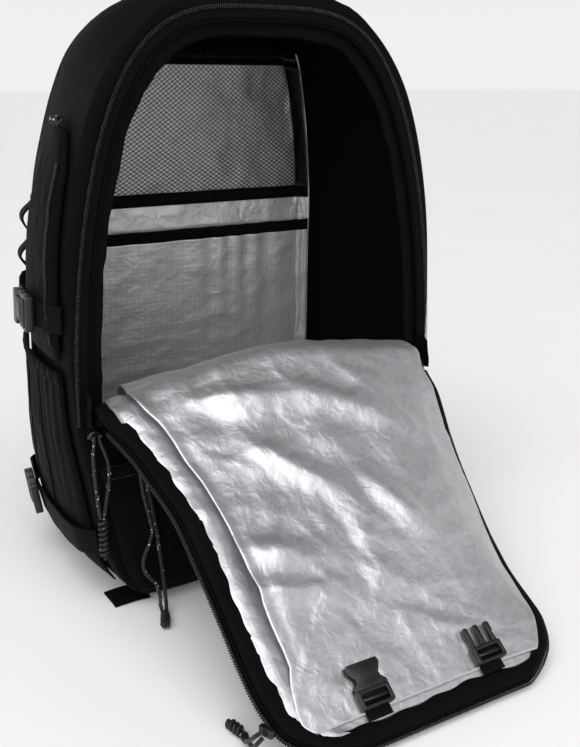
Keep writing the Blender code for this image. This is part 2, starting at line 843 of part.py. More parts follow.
def make_flap_zip():
    """The flap's half of the zip, as a bead round its outer edge."""
    centre = flap_at(0.6, 0.0, -FLAP_THICK / 2)
    rings = []
    for along, across in flap_outline():
        edge = flap_at(along, across, -FLAP_THICK / 3)
        normal = (flap_at(along, across, 0.01) - flap_at(along, across)).normalized()
        if abs(across) == 1.0 and along < 1.0:
            ahead = flap_at(min(along + 0.01, 1.0), across) - flap_at(along - 0.01, across)
            outward = ahead.cross(normal).normalized()
        else:
            outward = flap_at(1.0, across) - flap_at(0.97, across)
        if outward.dot(edge - centre) < 0:
            outward.negate()
        if abs(across) == 1.0 and along == 1.0:
            outward = outward.normalized() + Vector((across, 0.0, 0.0))
        outward.normalize()
        middle = edge + outward * (FLAP_ZIP_RADIUS + SNUG)
        ring = []
        for k in range(4):
            angle = math.pi * 2 * k / 4
            turn = outward * math.cos(angle) + normal * math.sin(angle)
            ring.append(middle + turn * FLAP_ZIP_RADIUS)
        rings.append(ring)
    loft("flap_zip", rings, "coil_zip")


def make_slider(name, origin, out):
    """A zip slider's body, standing off the flap's edge in the given direction."""
    z_axis = Vector(out).normalized()
    y_axis = Vector((0.0, 0.0, 1.0)).cross(z_axis)
    if y_axis.length < 0.5:
        y_axis = Vector((0.0, 1.0, 0.0))
    y_axis.normalize()
    x_axis = y_axis.cross(z_axis).normalized()
    y_axis = z_axis.cross(x_axis)
    matrix = Matrix.Identity(4)
    for column, axis in enumerate((x_axis, y_axis, z_axis)):
        matrix.col[column][:3] = axis
    matrix.col[3][:3] = origin
    long, wide = SLIDER_LONG / 2, SLIDER_WIDE / 2
    outline = [(-wide, -long), (wide, -long), (wide * 0.8, long), (-wide * 0.8, long)]
    prism(name, outline, SLIDER_THICK, "acetal", matrix)


def make_sliders():
    under = flap_at(FLAP_SLIDER, FLAP_SLIDER_ACROSS, -FLAP_THICK - SNUG)
    below = under - flap_at(FLAP_SLIDER, FLAP_SLIDER_ACROSS)
    make_slider("slider_flap", under, below)
    out = Vector(TIP_SLIDER_OUT).normalized()
    edge = flap_at(TIP_SLIDER, -1.0, -FLAP_THICK / 3)
    make_slider("slider_tip", edge + out * 2 * FLAP_ZIP_RADIUS, out)


def liner_lift(along, across):
    """How far the loose liner stands above the flap: most at the crest, with its folds."""
    crest = (FOLD_RISE + FOLD_RADIUS * math.pi / 2) / FLAP_LENGTH
    settle = min(max((along - crest) / (LINER_SETTLED - crest), 0.0), 1.0)
    lift = blend(LINER_CREST, LINER_LOOSE, min(1.0, settle * 3))
    lift = blend(lift, BAND_LIFT, max(0.0, (settle - 0.7) / 0.3))
    folds = 0.0
    left, right = flap_edges(along)
    half = (right - left) / 2
    for place, side, turn, length, width, height in LINER_FOLDS:
        u = (along - place) * FLAP_LENGTH
        v = (across - side) * half
        cosine, sine = math.cos(math.radians(turn)), math.sin(math.radians(turn))
        run = (u * cosine + v * sine) / (length * FLAP_LENGTH / 2)
        aside = (v * cosine - u * sine) / (width * FLAP_LENGTH)
        folds += height * math.exp(-run * run - aside * aside)
    return lift + folds * FOLD_HEIGHT * (1 - max(0.0, (settle - 0.75) / 0.25))


def make_flap_liner():
    end = 1 - LINER_END / FLAP_LENGTH
    start = -LINER_DOWN / FLAP_LENGTH
    fold_start = FOLD_RISE / FLAP_LENGTH
    stations = [start, start / 2, 0.0, fold_start]
    stations += spread(fold_start, end, 20)[1:]
    near, far = [], []
    for along in stations:
        left, right = flap_edges(along)
        half = (right - left) / 2
        open_share = min(max((along - fold_start) / 0.10, 0.0), 1.0)
        inset = blend(LINER_SIDE, LINER_INSET, open_share)
        reach = 1 - inset / half
        lines = spread(-reach, reach, 12)
        near.append([flap_at(along, b, liner_lift(along, b)) for b in lines])
        far.append([flap_at(along, b, liner_lift(along, b) + LINER_THICK) for b in lines])
    two_sided("flap_liner", near, far, "silver_film")


def make_gussets():
    """Folded webs that join the ends of the hinge to the body."""
    start_y = -(MOUTH_DEPTH + SNUG)
    for side, name in ((-1, "hinge_gusset_left"), (1, "hinge_gusset_right")):
        outline = [
            (start_y, MOUTH_FOOT),
            (start_y, MOUTH_FOOT + GUSSET_HIGH),
            (start_y - GUSSET_REACH, MOUTH_FOOT + GUSSET_HIGH * 0.86),
            (start_y - GUSSET_REACH * 0.9, MOUTH_FOOT + GUSSET_HIGH * 0.4),
        ]
        outer = side * (MOUTH_HALF - GUSSET_INSET)
        inner = side * (MOUTH_HALF - GUSSET_INSET - GUSSET_THICK)
        rings = [[Vector((x, y, z)) for y, z in outline] for x in (outer, inner)]
        loft(name, rings, "nylon_cloth", smooth=False)


def flap_frame(x, run, out):
    """A placing matrix on the flap: X to the right, Y up the slope, Z out of the flap."""
    along = run / FLAP_LENGTH
    left, right = flap_edges(along)
    across = 2 * (x - left) / (right - left) - 1
    here = flap_at(along, across, out)
    y_axis = Vector((0.0, math.cos(SLOPE), math.sin(SLOPE)))
    z_axis = Vector((1.0, 0.0, 0.0)).cross(y_axis).normalized()
    x_axis = y_axis.cross(z_axis).normalized()
    matrix = Matrix.Identity(4)
    for column, axis in enumerate((x_axis, y_axis, z_axis)):
        matrix.col[column][:3] = axis
    matrix.col[3][:3] = here
    return matrix


def female_outline():
    """Half socket: a plate that narrows at its waist, with a slot bar at its lower end."""
    half = BUCKLE_WIDE / 2
    long = FEMALE_LONG
    right = [
        (half * 0.92, 0.0),
        (half, long * 0.10),
        (half, long * 0.30),
        (half * 0.80, long * 0.42),
        (half * 0.76, long * 0.58),
        (half * 0.90, long * 0.72),
        (half, long * 0.86),
        (half * 0.92, long),
    ]
    return right + [(-x, y) for x, y in reversed(right)]


def male_outline():
    """Ladder base with a middle guide and two barbed prongs."""
    half = BUCKLE_WIDE / 2
    base = MALE_BASE
    tip = MALE_BASE + PRONG_LONG
    right = [
        (half, 0.0),
        (half, base * 0.85),
        (half * 0.95, base),
        (half * 0.95, base + PRONG_LONG * 0.55),
        (half * 0.80, tip),
        (half * 0.62, tip),
        (half * 0.56, base + PRONG_LONG * 0.60),
        (half * 0.56, base),
        (half * 0.18, base),
        (half * 0.14, tip * 0.97),
    ]
    return right + [(-x, y) for x, y in reversed(right)]


def make_loose_buckle():
    lift = BAND_LIFT + max(BAND_THICK, LINER_THICK) + GAP
    lower = FLAP_LENGTH - TIP_INSET - TAB_LENGTH - SNUG
    for x, name, outline in (
        (FEMALE_X, "female", female_outline()),
        (MALE_X, "male", male_outline()),
    ):
        tab_end = FLAP_LENGTH - TIP_INSET
        place = flap_frame(x, tab_end, lift)
        half = WEB / 2
        strip = [(-half, 0.0), (half, 0.0), (half, TAB_LENGTH), (-half, TAB_LENGTH)]
        prism(name + "_tab", strip, WEB_THICK, "webbing", place)
        place = flap_frame(x, lower, lift)
        prism("buckle_" + name, outline, BUCKLE_THICK, "acetal", place, bevel=0.0012)


def side_pocket_out(across, up):
    """The zipped pocket's depth: full in its middle, thin where it tucks in below."""
    lower = min(1.0, 0.3 + 3.0 * up)
    full = SIDE_THICK * crown(across, 6) * lower * (1 - 0.45 * up**6)
    return POCKET_SEAT + SIDE_PIPING + full


def make_side(side, name):
    pocket = (SIDE_START + 0.4, SIDE_START + 3.4)

    def shoulder(across):
        return SIDE_ROUND * abs(2 * across - 1) ** 3

    wrap(
        "side_pocket_" + name,
        "nylon_cloth",
        pocket,
        SIDE_BOTTOM,
        SIDE_TOP,
        level(POCKET_SEAT),
        side_pocket_out,
        side,
        finest=0.02,
        cap=shoulder,
    )

    def stand_off(across, up):
        belly = min(1.0, 5 * up) ** 0.8 * (1 - 0.5 * up)
        return GAP + LOWER_STAND_OFF * crown(across, 3) * belly

    def stand_off_face(across, up):
        return stand_off(across, up) + LOWER_CLOTH

    lower = (SIDE_START + 0.4, SIDE_END + 0.6)
    wrap(
        "lower_pocket_" + name,
        "nylon_cloth",
        lower,
        LOWER_BOTTOM,
        LOWER_TOP,
        stand_off,
        stand_off_face,
        side,
        finest=0.05,
    )
    make_daisy_chain(side, name)
    upper_buckle = SIDE_START + 2.2
    lower_buckle = SIDE_START + 4.6
    make_compression(side, name, "upper", UPPER_STRAP, pocket, SIDE_THICK, upper_buckle)
    make_compression(side, name, "lower", LOWER_STRAP, lower, LOWER_STAND_OFF, lower_buckle)


def make_daisy_chain(side, name):
    """Webbing behind the pocket, tacked down at its ends and middle, with two loops."""

    def loops(across, up):
        return GAP + DAISY_LOOP * math.sin(2 * math.pi * up) ** 2

    def loops_face(across, up):
        return loops(across, up) + WEB_THICK

    span = (SIDE_START + 3.75, SIDE_START + 4.65)
    wrap(
        "daisy_chain_" + name,
        "webbing",
        span,
        DAISY_BOTTOM,
        DAISY_TOP,
        loops,
        loops_face,
        side,
        finest=0.012,
    )


def make_compression(side, name, which, height, pocket, depth, buckle_at):
    """A flat strap over a pocket, and the fastened buckle on it."""
    bottom = height - STRAP_WIDE / 2
    top = height + STRAP_WIDE / 2
    first = pocket[0] - 0.25
    last = SIDE_END + 2.0
    ends = max(pocket[1], buckle_at + 1.0)

    def over(across, up):
        index = blend(first, last, across)
        rise = min(1.0, max(0.0, (index - first) / 0.9))
        fall = min(1.0, max(0.0, (last - index) / (last - ends)))
        share = min(rise, fall)
        return 2 * GAP + (depth + LOWER_CLOTH) * math.sin(share * math.pi / 2)

    def over_face(across, up):
        return over(across, up) + WEB_THICK

    wrap(
        "strap_{}_{}".format(which, name),
        "webbing",
        (first, last),
        bottom,
        top,
        over,
        over_face,
        side,
    )
    lift = 3 * GAP + depth + LOWER_CLOTH + WEB_THICK
    place = skin_frame(buckle_at, height, lift, side)
    half_long = SIDE_BUCKLE_LONG / 2
    half_wide = SIDE_BUCKLE_WIDE / 2
    waist = half_wide * 0.82
    upper = [
        (-half_long, half_wide * 0.8),
        (-half_long * 0.8, half_wide),
        (-half_long * 0.25, half_wide),
        (-half_long * 0.1, waist),
        (half_long * 0.35, waist),
        (half_long * 0.5, half_wide),
        (half_long, half_wide * 0.9),
    ]
    outline = [(x, -y) for x, y in upper] + list(reversed(upper))
    prism(
        "buckle_{}_{}".format(which, name),
        outline,
        SIDE_BUCKLE_THICK,
        "acetal",
        place,
        bevel=0.0014,
    )


def make_lower_front():
    def pocket_out(across, up):
        return GAP + POCKET_THICK * crown(across, 8) * (0.55 + 0.45 * crown(up, 4))

    span = (-FRONT_STEPS + 0.1, FRONT_STEPS - 0.1)
    wrap(
        "front_pocket",
        "nylon_cloth",
        span,
        POCKET_BOTTOM,
        POCKET_TOP,
        level(GAP),
        pocket_out,
    )
    make_pull_anchor()
    make_base_tab()


def make_pull_anchor():
    """A short webbing on the left front corner, and the half round loop that it holds."""
    x, low = LOOP_X, LOOP_HEIGHT
    corner = FRONT_STEPS + 0.6
    half = ANCHOR_WIDE / 2
    rings = []
    for z in spread(low, MOUTH_FOOT - SNUG, 2):
        y = body_at(corner, z, GAP).y - GAP
        near = [Vector((x - half, y, z)), Vector((x + half, y, z))]
        rings.append(near + [point - Vector((0.0, WEB_THICK, 0.0)) for point in reversed(near)])
    loft("pull_anchor", rings, "webbing")
    y = body_at(corner, low, GAP).y - GAP - WEB_THICK - SNUG - LOOP_ROD
    rings = []
    radius = LOOP_WIDE / 2 - LOOP_ROD
    for k in range(9):
        angle = math.pi * k / 8
        z = low - radius * 0.2 + radius * math.sin(angle)
        centre = Vector((x + radius * math.cos(angle), y, z))
        outward = Vector((math.cos(angle), 0.0, math.sin(angle)))
        ring = []
        for j in range(6):
            turn = math.pi * 2 * j / 6
            side = outward * math.cos(turn) + Vector((0.0, math.sin(turn), 0.0))
            ring.append(centre + side * LOOP_ROD)
        rings.append(ring)
    loft("pull_loop", rings, "acetal")


def make_base_tab():
    edge = -BODY_ROWS[0][1] * HALF_WIDTH - BASE_TAB_CLEAR
    outline = [
        (edge - BASE_TAB_LONG, -BASE_TAB_BACK - BASE_TAB_WIDE),
        (edge, -BASE_TAB_BACK - BASE_TAB_WIDE),
        (edge, -BASE_TAB_BACK),
        (edge - BASE_TAB_LONG, -BASE_TAB_BACK),
    ]
    prism("base_tab", outline, WEB_THICK, "webbing", Matrix.Translation((0.0, 0.0, 0.0002)))


def make_back():
    def pad_out(across, up):
        return GAP + BACK_PAD * crown(across, 6) * crown(up, 8)

    span = (BACK_START + 0.3, TURN - BACK_START - 0.3)
    wrap("back_pad", "nylon_cloth", span, PAD_BOTTOM, PAD_TOP, level(GAP), pad_out)
    for side, name in ((1, "right"), (-1, "left")):
        make_harness(side, name)
    make_handle()


def make_harness(side, name):
    """A padded shoulder strap that hangs off the back, and the webbing under it."""
    rings = []
    half = HARNESS_WIDE / 2
    for t in spread(0.0, 1.0, 12):
        z = blend(HARNESS_TOP, HARNESS_BOTTOM, t)
        narrow = half * (1 - 0.30 * t)
        x = HARNESS_APART + 0.012 * math.sin(math.pi * t)
        y = body_at(HALF_TURN, z).y + BACK_PAD + 3 * GAP + HARNESS_OUT * math.sin(math.pi * t)
        slim = HARNESS_THICK * (0.6 + 0.4 * math.sin(math.pi * t))
        outline = [
            (x - narrow, y + slim * 0.25),
            (x - narrow * 0.8, y),
            (x + narrow * 0.8, y),
            (x + narrow, y + slim * 0.25),
            (x + narrow, y + slim * 0.75),
            (x + narrow * 0.8, y + slim),
            (x - narrow * 0.8, y + slim),
            (x - narrow, y + slim * 0.75),
        ]
        rings.append([Vector((side * px, py, z)) for px, py in outline])
    loft("shoulder_strap_" + name, rings, "nylon_cloth")
    rings = []
    start = HARNESS_BOTTOM - 3 * SNUG
    end = LOWER_BOTTOM + 0.02
    for t in spread(0.0, 1.0, 6):
        z = blend(start, end, t)
        index = blend(BACK_START + 1.9, BACK_START - 1.6, t)
        lift = blend(BACK_PAD + 3 * GAP, 3 * GAP, t**5)
        ring = [
            body_at(index - 0.4, z, lift),
            body_at(index + 0.4, z, lift),
            body_at(index + 0.4, z, lift + WEB_THICK),
            body_at(index - 0.4, z, lift + WEB_THICK),
        ]
        rings.append([mirrored(point, side) for point in ring])
    loft("harness_webbing_" + name, rings, "webbing")


def make_handle():
    """A plain grab loop on the top."""
    top = HEIGHT + SNUG
    middle_y = -0.5 * (BODY_ROWS[-1][4] * FRONT_DEPTH - BODY_ROWS[-1][5] * BACK_DEPTH)
    half = HANDLE_WIDE / 2
    rings = []
    for t in spread(0.0, 1.0, 12):
        angle = math.pi * t
        outward = Vector((-math.cos(angle), 0.0, math.sin(angle)))
        base = Vector(
            (
                -HANDLE_REACH * math.cos(angle),
                middle_y,
                top + HANDLE_HIGH * math.sin(angle) ** 0.7,
            )
        )
        thick = outward * HANDLE_THICK
        across = Vector((0.0, half, 0.0))
        rings.append([base - across, base + across, base + across + thick, base - across + thick])
    loft("top_handle", rings, "webbing")


def knot(name, start, end, turns=3):
    """A tied end: a lumpy grip between two places, waisted between its turns."""
    first, last = Vector(start), Vector(end)
    axis = (last - first).normalized()
    aside = axis.orthogonal().normalized()
    other = axis.cross(aside)
    rings = []
    steps = 3 * turns
    for k in range(steps + 1):
        t = k / steps
        swell = 0.30 * math.cos(2 * math.pi * turns * t)
        radius = KNOT / 2 * (0.82 - swell) * (0.80 + 0.20 * crown(t, 4))
        centre = first.lerp(last, t)
        ring = []
        for j in range(8):
            turn = 2 * math.pi * j / 8
            ring.append(centre + (aside * math.cos(turn) + other * math.sin(turn)) * radius)
        rings.append(ring)
    return loft(name, rings, "cord")


def make_pulls():
    cord("side_pull_a", SIDE_PULL_A)
    cord("side_pull_b", SIDE_PULL_B)
    end = Vector(SIDE_KNOT_TOP) - Vector((0.0, 0.0, SIDE_KNOT_LONG))
    knot("side_pull_knot", SIDE_KNOT_TOP, end, 4)
    cord("tip_pull_a", TIP_PULL_A)
    cord("tip_pull_b", TIP_PULL_B)
    knot("tip_pull_knot", TIP_KNOT_TOP, TIP_KNOT_END, 2)
    cord("flap_pull_a", FLAP_PULL_A)
    cord("flap_pull_b", FLAP_PULL_B)
    knot("flap_pull_knot", FLAP_KNOT_TOP, FLAP_KNOT_END, 3)
    index = SIDE_START + 2.2
    perch = mirrored(body_at(index, SIDE_TOP + KNOT / 2, POCKET_KNOT_OUT / 2), -1)
    reach = Vector((0.0, POCKET_KNOT_OUT, 0.0))
    knot("pocket_pull_knot", perch - reach, perch + reach, 2)


clear_scene()
PARTS, CUTTERS = make_collections()
MATERIALS = {name: make_material(name) for name in COLOURS}
SKIN, SKIN_NORMALS = body_grid()
SLOPE = flap_slope()

make_body()
make_mouth()
make_inner_back()
make_flap()
make_gussets()
make_loose_buckle()
for hand, label in ((1, "right"), (-1, "left")):
    make_side(hand, label)
make_lower_front()
make_back()
make_pulls()
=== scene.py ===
# %% [markdown]
# # A clamshell backpack with its front unzipped and folded down
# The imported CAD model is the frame: it fixes every size, and each piece here takes the place
# of one or more of its plain solids. Cloth is made as flat grids that are warped into place,
# because sewn goods start as flat panels too, and the grid keeps clean squares to crease.

import math
import random

import bmesh
import bpy
from mathutils import Matrix, Vector, noise


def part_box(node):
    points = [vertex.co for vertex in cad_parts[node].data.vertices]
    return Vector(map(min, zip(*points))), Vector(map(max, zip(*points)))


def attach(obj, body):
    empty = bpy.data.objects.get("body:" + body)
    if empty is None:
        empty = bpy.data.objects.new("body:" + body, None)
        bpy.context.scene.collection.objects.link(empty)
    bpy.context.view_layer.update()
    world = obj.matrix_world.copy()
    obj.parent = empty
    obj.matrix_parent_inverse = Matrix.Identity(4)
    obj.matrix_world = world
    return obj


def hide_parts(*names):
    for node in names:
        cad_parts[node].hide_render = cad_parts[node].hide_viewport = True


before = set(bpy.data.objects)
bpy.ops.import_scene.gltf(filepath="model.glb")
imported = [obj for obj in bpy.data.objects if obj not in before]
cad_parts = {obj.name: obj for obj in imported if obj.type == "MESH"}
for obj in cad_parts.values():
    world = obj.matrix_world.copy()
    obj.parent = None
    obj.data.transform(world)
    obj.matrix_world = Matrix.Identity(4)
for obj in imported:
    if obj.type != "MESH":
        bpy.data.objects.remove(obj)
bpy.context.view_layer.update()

# %% [markdown]
# ## Camera
# A mild telephoto seen from the front left, a little above the bag. The lens and the place
# were fitted to the outline of the bag, so they stay as they are.

# %% Camera
CAMERA_PLACE = (-0.398, -0.799, 0.418)
CAMERA_TURN = (73.1, 0.0, -31.3)
CAMERA_LENS = 46.2

camera_data = bpy.data.cameras.new("camera")
camera_data.lens = CAMERA_LENS
camera_data.clip_start = 0.01
camera = bpy.data.objects.new("camera", camera_data)
camera.location = CAMERA_PLACE
camera.rotation_euler = [math.radians(angle) for angle in CAMERA_TURN]
bpy.context.scene.collection.objects.link(camera)
bpy.context.scene.camera = camera

# %% [markdown]
# ## Cords first
# Shock cord is a rubber core in a woven sleeve, 3 mm across. Each zip pull is one length of
# it doubled through the slider, so it is drawn as two strands that meet in a tied grip. The
# strands are curves: a curve's line is the cord's centre, and its bevel is the thickness.

# %% Cord routes, the same points as the solids have
CORD = 0.003
PULLS = {
    "side_pull_a": (
        (-0.1632, -0.1169, 0.1520),
        (-0.1640, -0.1185, 0.1455),
        (-0.1672, -0.1240, 0.1385),
        (-0.1692, -0.1300, 0.1290),
        (-0.1692, -0.1322, 0.1150),
        (-0.1686, -0.1330, 0.1020),
        (-0.1678, -0.1336, 0.0905),
    ),
    "side_pull_b": (
        (-0.1592, -0.1169, 0.1520),
        (-0.1586, -0.1185, 0.1455),
        (-0.1574, -0.1243, 0.1385),
        (-0.1572, -0.1304, 0.1290),
        (-0.1592, -0.1324, 0.1150),
        (-0.1620, -0.1332, 0.1020),
        (-0.1643, -0.1336, 0.0905),
    ),
    "tip_pull_a": (
        (-0.1488, -0.3562, 0.0296),
        (-0.1522, -0.3544, 0.0272),
        (-0.1520, -0.3482, 0.0205),
        (-0.1508, -0.3402, 0.0130),
        (-0.1488, -0.3322, 0.0072),
        (-0.1466, -0.3234, 0.0052),
    ),
    "tip_pull_b": (
        (-0.1488, -0.3562, 0.0252),
        (-0.1515, -0.3548, 0.0215),
        (-0.1508, -0.3492, 0.0150),
        (-0.1480, -0.3412, 0.0085),
        (-0.1455, -0.3322, 0.0045),
        (-0.1431, -0.3234, 0.0048),
    ),
    "flap_pull_a": (
        (-0.1363, -0.1494, 0.1548),
        (-0.1358, -0.1486, 0.1400),
        (-0.1345, -0.1480, 0.1250),
        (-0.1318, -0.1464, 0.1080),
        (-0.1285, -0.1456, 0.0900),
        (-0.1258, -0.1452, 0.0720),
        (-0.1240, -0.1450, 0.0540),
        (-0.1224, -0.1454, 0.0360),
        (-0.1216, -0.1468, 0.0200),
        (-0.1222, -0.1500, 0.0080),
        (-0.1244, -0.1550, 0.0052),
    ),
    "flap_pull_b": (
        (-0.1399, -0.1499, 0.1546),
        (-0.1398, -0.1500, 0.1400),
        (-0.1392, -0.1500, 0.1250),
        (-0.1368, -0.1486, 0.1080),
        (-0.1330, -0.1478, 0.0900),
        (-0.1306, -0.1480, 0.0760),
        (-0.1340, -0.1490, 0.0660),
        (-0.1392, -0.1496, 0.0560),
        (-0.1402, -0.1494, 0.0450),
        (-0.1362, -0.1492, 0.0370),
        (-0.1306, -0.1498, 0.0300),
        (-0.1278, -0.1510, 0.0190),
        (-0.1280, -0.1515, 0.0078),
        (-0.1279, -0.1550, 0.0052),
    ),
}
KNOTS = {
    "side_pull_knot": ((-0.1661, -0.1336, 0.0902), (-0.1661, -0.1336, 0.0542), 8),
    "tip_pull_knot": ((-0.1449, -0.3228, 0.0052), (-0.1478, -0.3072, 0.0052), 4),
    "flap_pull_knot": ((-0.1262, -0.1568, 0.0052), (-0.1350, -0.1760, 0.0052), 5),
}


def smooth_route(points, count):
    """Evenly spaced points on a smooth curve through a few chosen ones, and its length."""
    route = [Vector(point) for point in points]
    fine = []
    for k in range(len(route) - 1):
        start, end = route[k], route[k + 1]
        a = (end - route[max(k - 1, 0)]) * 0.5
        b = (route[min(k + 2, len(route) - 1)] - start) * 0.5
        for t in (j / 12 for j in range(12)):
            point = (2 * t**3 - 3 * t**2 + 1) * start + (t**3 - 2 * t**2 + t) * a
            fine.append(point + (3 * t**2 - 2 * t**3) * end + (t**3 - t**2) * b)
    fine.append(route[-1])
    return even_points(fine, count)


def even_points(line, count):
    """The same line with count points, a step apart, and its whole length."""
    steps = [(q - p).length for p, q in zip(line, line[1:])]
    length = sum(steps)
    found, k, run = [], 0, 0.0
    for j in range(count):
        wanted = length * j / (count - 1)
        while k < len(steps) - 1 and run + steps[k] < wanted:
            run += steps[k]
            k += 1
        share = (wanted - run) / steps[k] if steps[k] else 0.0
        found.append(line[k].lerp(line[k + 1], min(share, 1.0)))
    return found, length


def tube(name, points, radius, rounds=2, closed=False):
    """A curve with a round section: cords, piping, zip coils and thread."""
    curve = bpy.data.curves.new(name, "CURVE")
    curve.dimensions = "3D"
    curve.bevel_depth = radius
    curve.bevel_resolution = rounds
    curve.use_fill_caps = True
    spline = curve.splines.new("POLY")
    spline.points.add(len(points) - 1)
    spline.use_cyclic_u = closed
    for place, point in zip(points, spline.points):
        point.co = (*place, 1.0)
    obj = bpy.data.objects.new(name, curve)
    bpy.context.scene.collection.objects.link(obj)
    return obj


def wear(obj, finish, slot, *nodes):
    """Gives a piece its material and its body, and hides the solids it stands for. The slot is not
    used.
    """
    obj.data.materials.clear()
    obj.data.materials.append(finish)
    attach(obj, "root")
    if nodes:
        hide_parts(*nodes)
    return obj


# %% [markdown]
# ## Colours and the node helper
# Colours are written as the screen shows them and turned linear once. One helper adds any
# shader node with its settings and its links, so each material reads as a short recipe.


# %% Colour and node helpers
def linear(code):
    values = [int(code[k : k + 2], 16) / 255 for k in (1, 3, 5)]
    return (*[v / 12.92 if v <= 0.04045 else ((v + 0.055) / 1.055) ** 2.4 for v in values], 1.0)


def add_node(tree, kind, inputs=None, **settings):
    made = tree.nodes.new(kind)
    for key, value in settings.items():
        setattr(made, key, value)
    for key, value in (inputs or {}).items():
        if isinstance(value, bpy.types.NodeSocket):
            tree.links.new(value, made.inputs[key])
        else:
            made.inputs[key].default_value = value
    return made


def new_finish(name, colour, roughness, metallic=0.0):
    """A material with its shader, and the tree to add a pattern to."""
    finish = bpy.data.materials.new(name)
    finish.use_nodes = True
    tree = finish.node_tree
    shader = tree.nodes["Principled BSDF"]
    shader.inputs["Base Color"].default_value = linear(colour)
    shader.inputs["Roughness"].default_value = roughness
    shader.inputs["Metallic"].default_value = metallic
    return finish, tree, shader


# %% [markdown]
# ## Woven nylon
# The outer cloth is a plain weave of 420 denier nylon, dyed black: dull, with a faint sheen at
# grazing angles. Its threads are 0.5 mm apart, too fine for the picture, so they are drawn
# 2.2 mm apart. A soft noise rumples it and makes it a little paler where it has rubbed. The
# lining is duller (drawn 1.8 mm, really 0.2), grosgrain has ribs (2.6 mm, really 0.6), webbing
# has heavier ribs (3.6 mm, really 1) and the net is bare yarn (1.6 mm, really 0.3).

# %% Woven nylon and lining
# Every spacing here is half the distance from thread to thread, as the wave has two bands.
WEAVE_DRAWN = 0.0011


def woven(name, colour, worn, roughness, spacing=WEAVE_DRAWN, depth=0.25, crumple=0.5):
    finish, tree, shader = new_finish(name, colour, roughness)
    place = add_node(tree, "ShaderNodeTexCoord")
    threads = []
    for direction in ("X", "Y"):
        threads.append(
            add_node(
                tree,
                "ShaderNodeTexWave",
                {
                    "Vector": place.outputs["UV"],
                    "Scale": 1 / (spacing * 20) * math.pi,
                    "Distortion": 0.6,
                },
                wave_type="BANDS",
                bands_direction=direction,
            )
        )
    weave = add_node(
        tree,
        "ShaderNodeMath",
        {0: threads[0].outputs["Fac"], 1: threads[1].outputs["Fac"]},
        operation="MULTIPLY",
    )
    rubbed = add_node(
        tree,
        "ShaderNodeTexNoise",
        {"Vector": place.outputs["Object"], "Scale": 22.0, "Detail": 6.0, "Roughness": 0.6},
    )
    colours = add_node(
        tree,
        "ShaderNodeMix",
        {
            "Factor": rubbed.outputs["Fac"],
            6: linear(colour),
            7: linear(worn),
        },
        data_type="RGBA",
    )
    dark = add_node(
        tree,
        "ShaderNodeMix",
        {"Factor": weave.outputs["Value"], 6: colours.outputs[2], 7: linear(worn)},
        data_type="RGBA",
    )
    tree.links.new(dark.outputs[2], shader.inputs["Base Color"])
    folds = add_node(
        tree,
        "ShaderNodeTexNoise",
        {"Vector": place.outputs["Object"], "Scale": 60.0, "Detail": 4.0, "Distortion": 0.4},
    )
    soft = add_node(
        tree,
        "ShaderNodeBump",
        {"Strength": crumple, "Distance": 0.002, "Height": folds.outputs["Fac"]},
    )
    fine = add_node(
        tree,
        "ShaderNodeBump",
        {
            "Strength": depth,
            "Distance": 0.0004,
            "Height": weave.outputs["Value"],
            "Normal": soft.outputs["Normal"],
        },
    )
    tree.links.new(fine.outputs["Normal"], shader.inputs["Normal"])
    shader.inputs["Specular IOR Level"].default_value = 0.04
    shader.inputs["Sheen Weight"].default_value = 0.004
    shader.inputs["Sheen Roughness"].default_value = 0.5
    return finish


NYLON = woven("nylon_plain_weave", "#040404", "#0c0c0d", 0.66)
LINING = woven("polyester_lining", "#030303", "#080809", 0.74, 0.0009, 0.15)
BINDING = woven("nylon_grosgrain_binding", "#040404", "#0d0d0e", 0.68, 0.0013, 0.5, 0.2)
WEBBING = woven("polypropylene_webbing", "#050505", "#101011", 0.60, 0.0018, 0.9, 0.1)
NET = woven("nylon_net_yarn", "#060606", "#0e0e0f", 0.7, 0.0008, 0.3, 0.0)

# %% [markdown]
# ## Aluminised film
# The lining is cloth with a vapour of aluminium on a thin film. It mirrors softly, and it
# keeps every crease it ever had. The main folds are real geometry, and the shader adds the
# two finest sizes: cells of broken creases 9 to 12 mm across, and ripples 3 mm apart. Ripstop
# has a heavier thread every 5 mm or so; they are drawn 4.4 mm apart and faint.


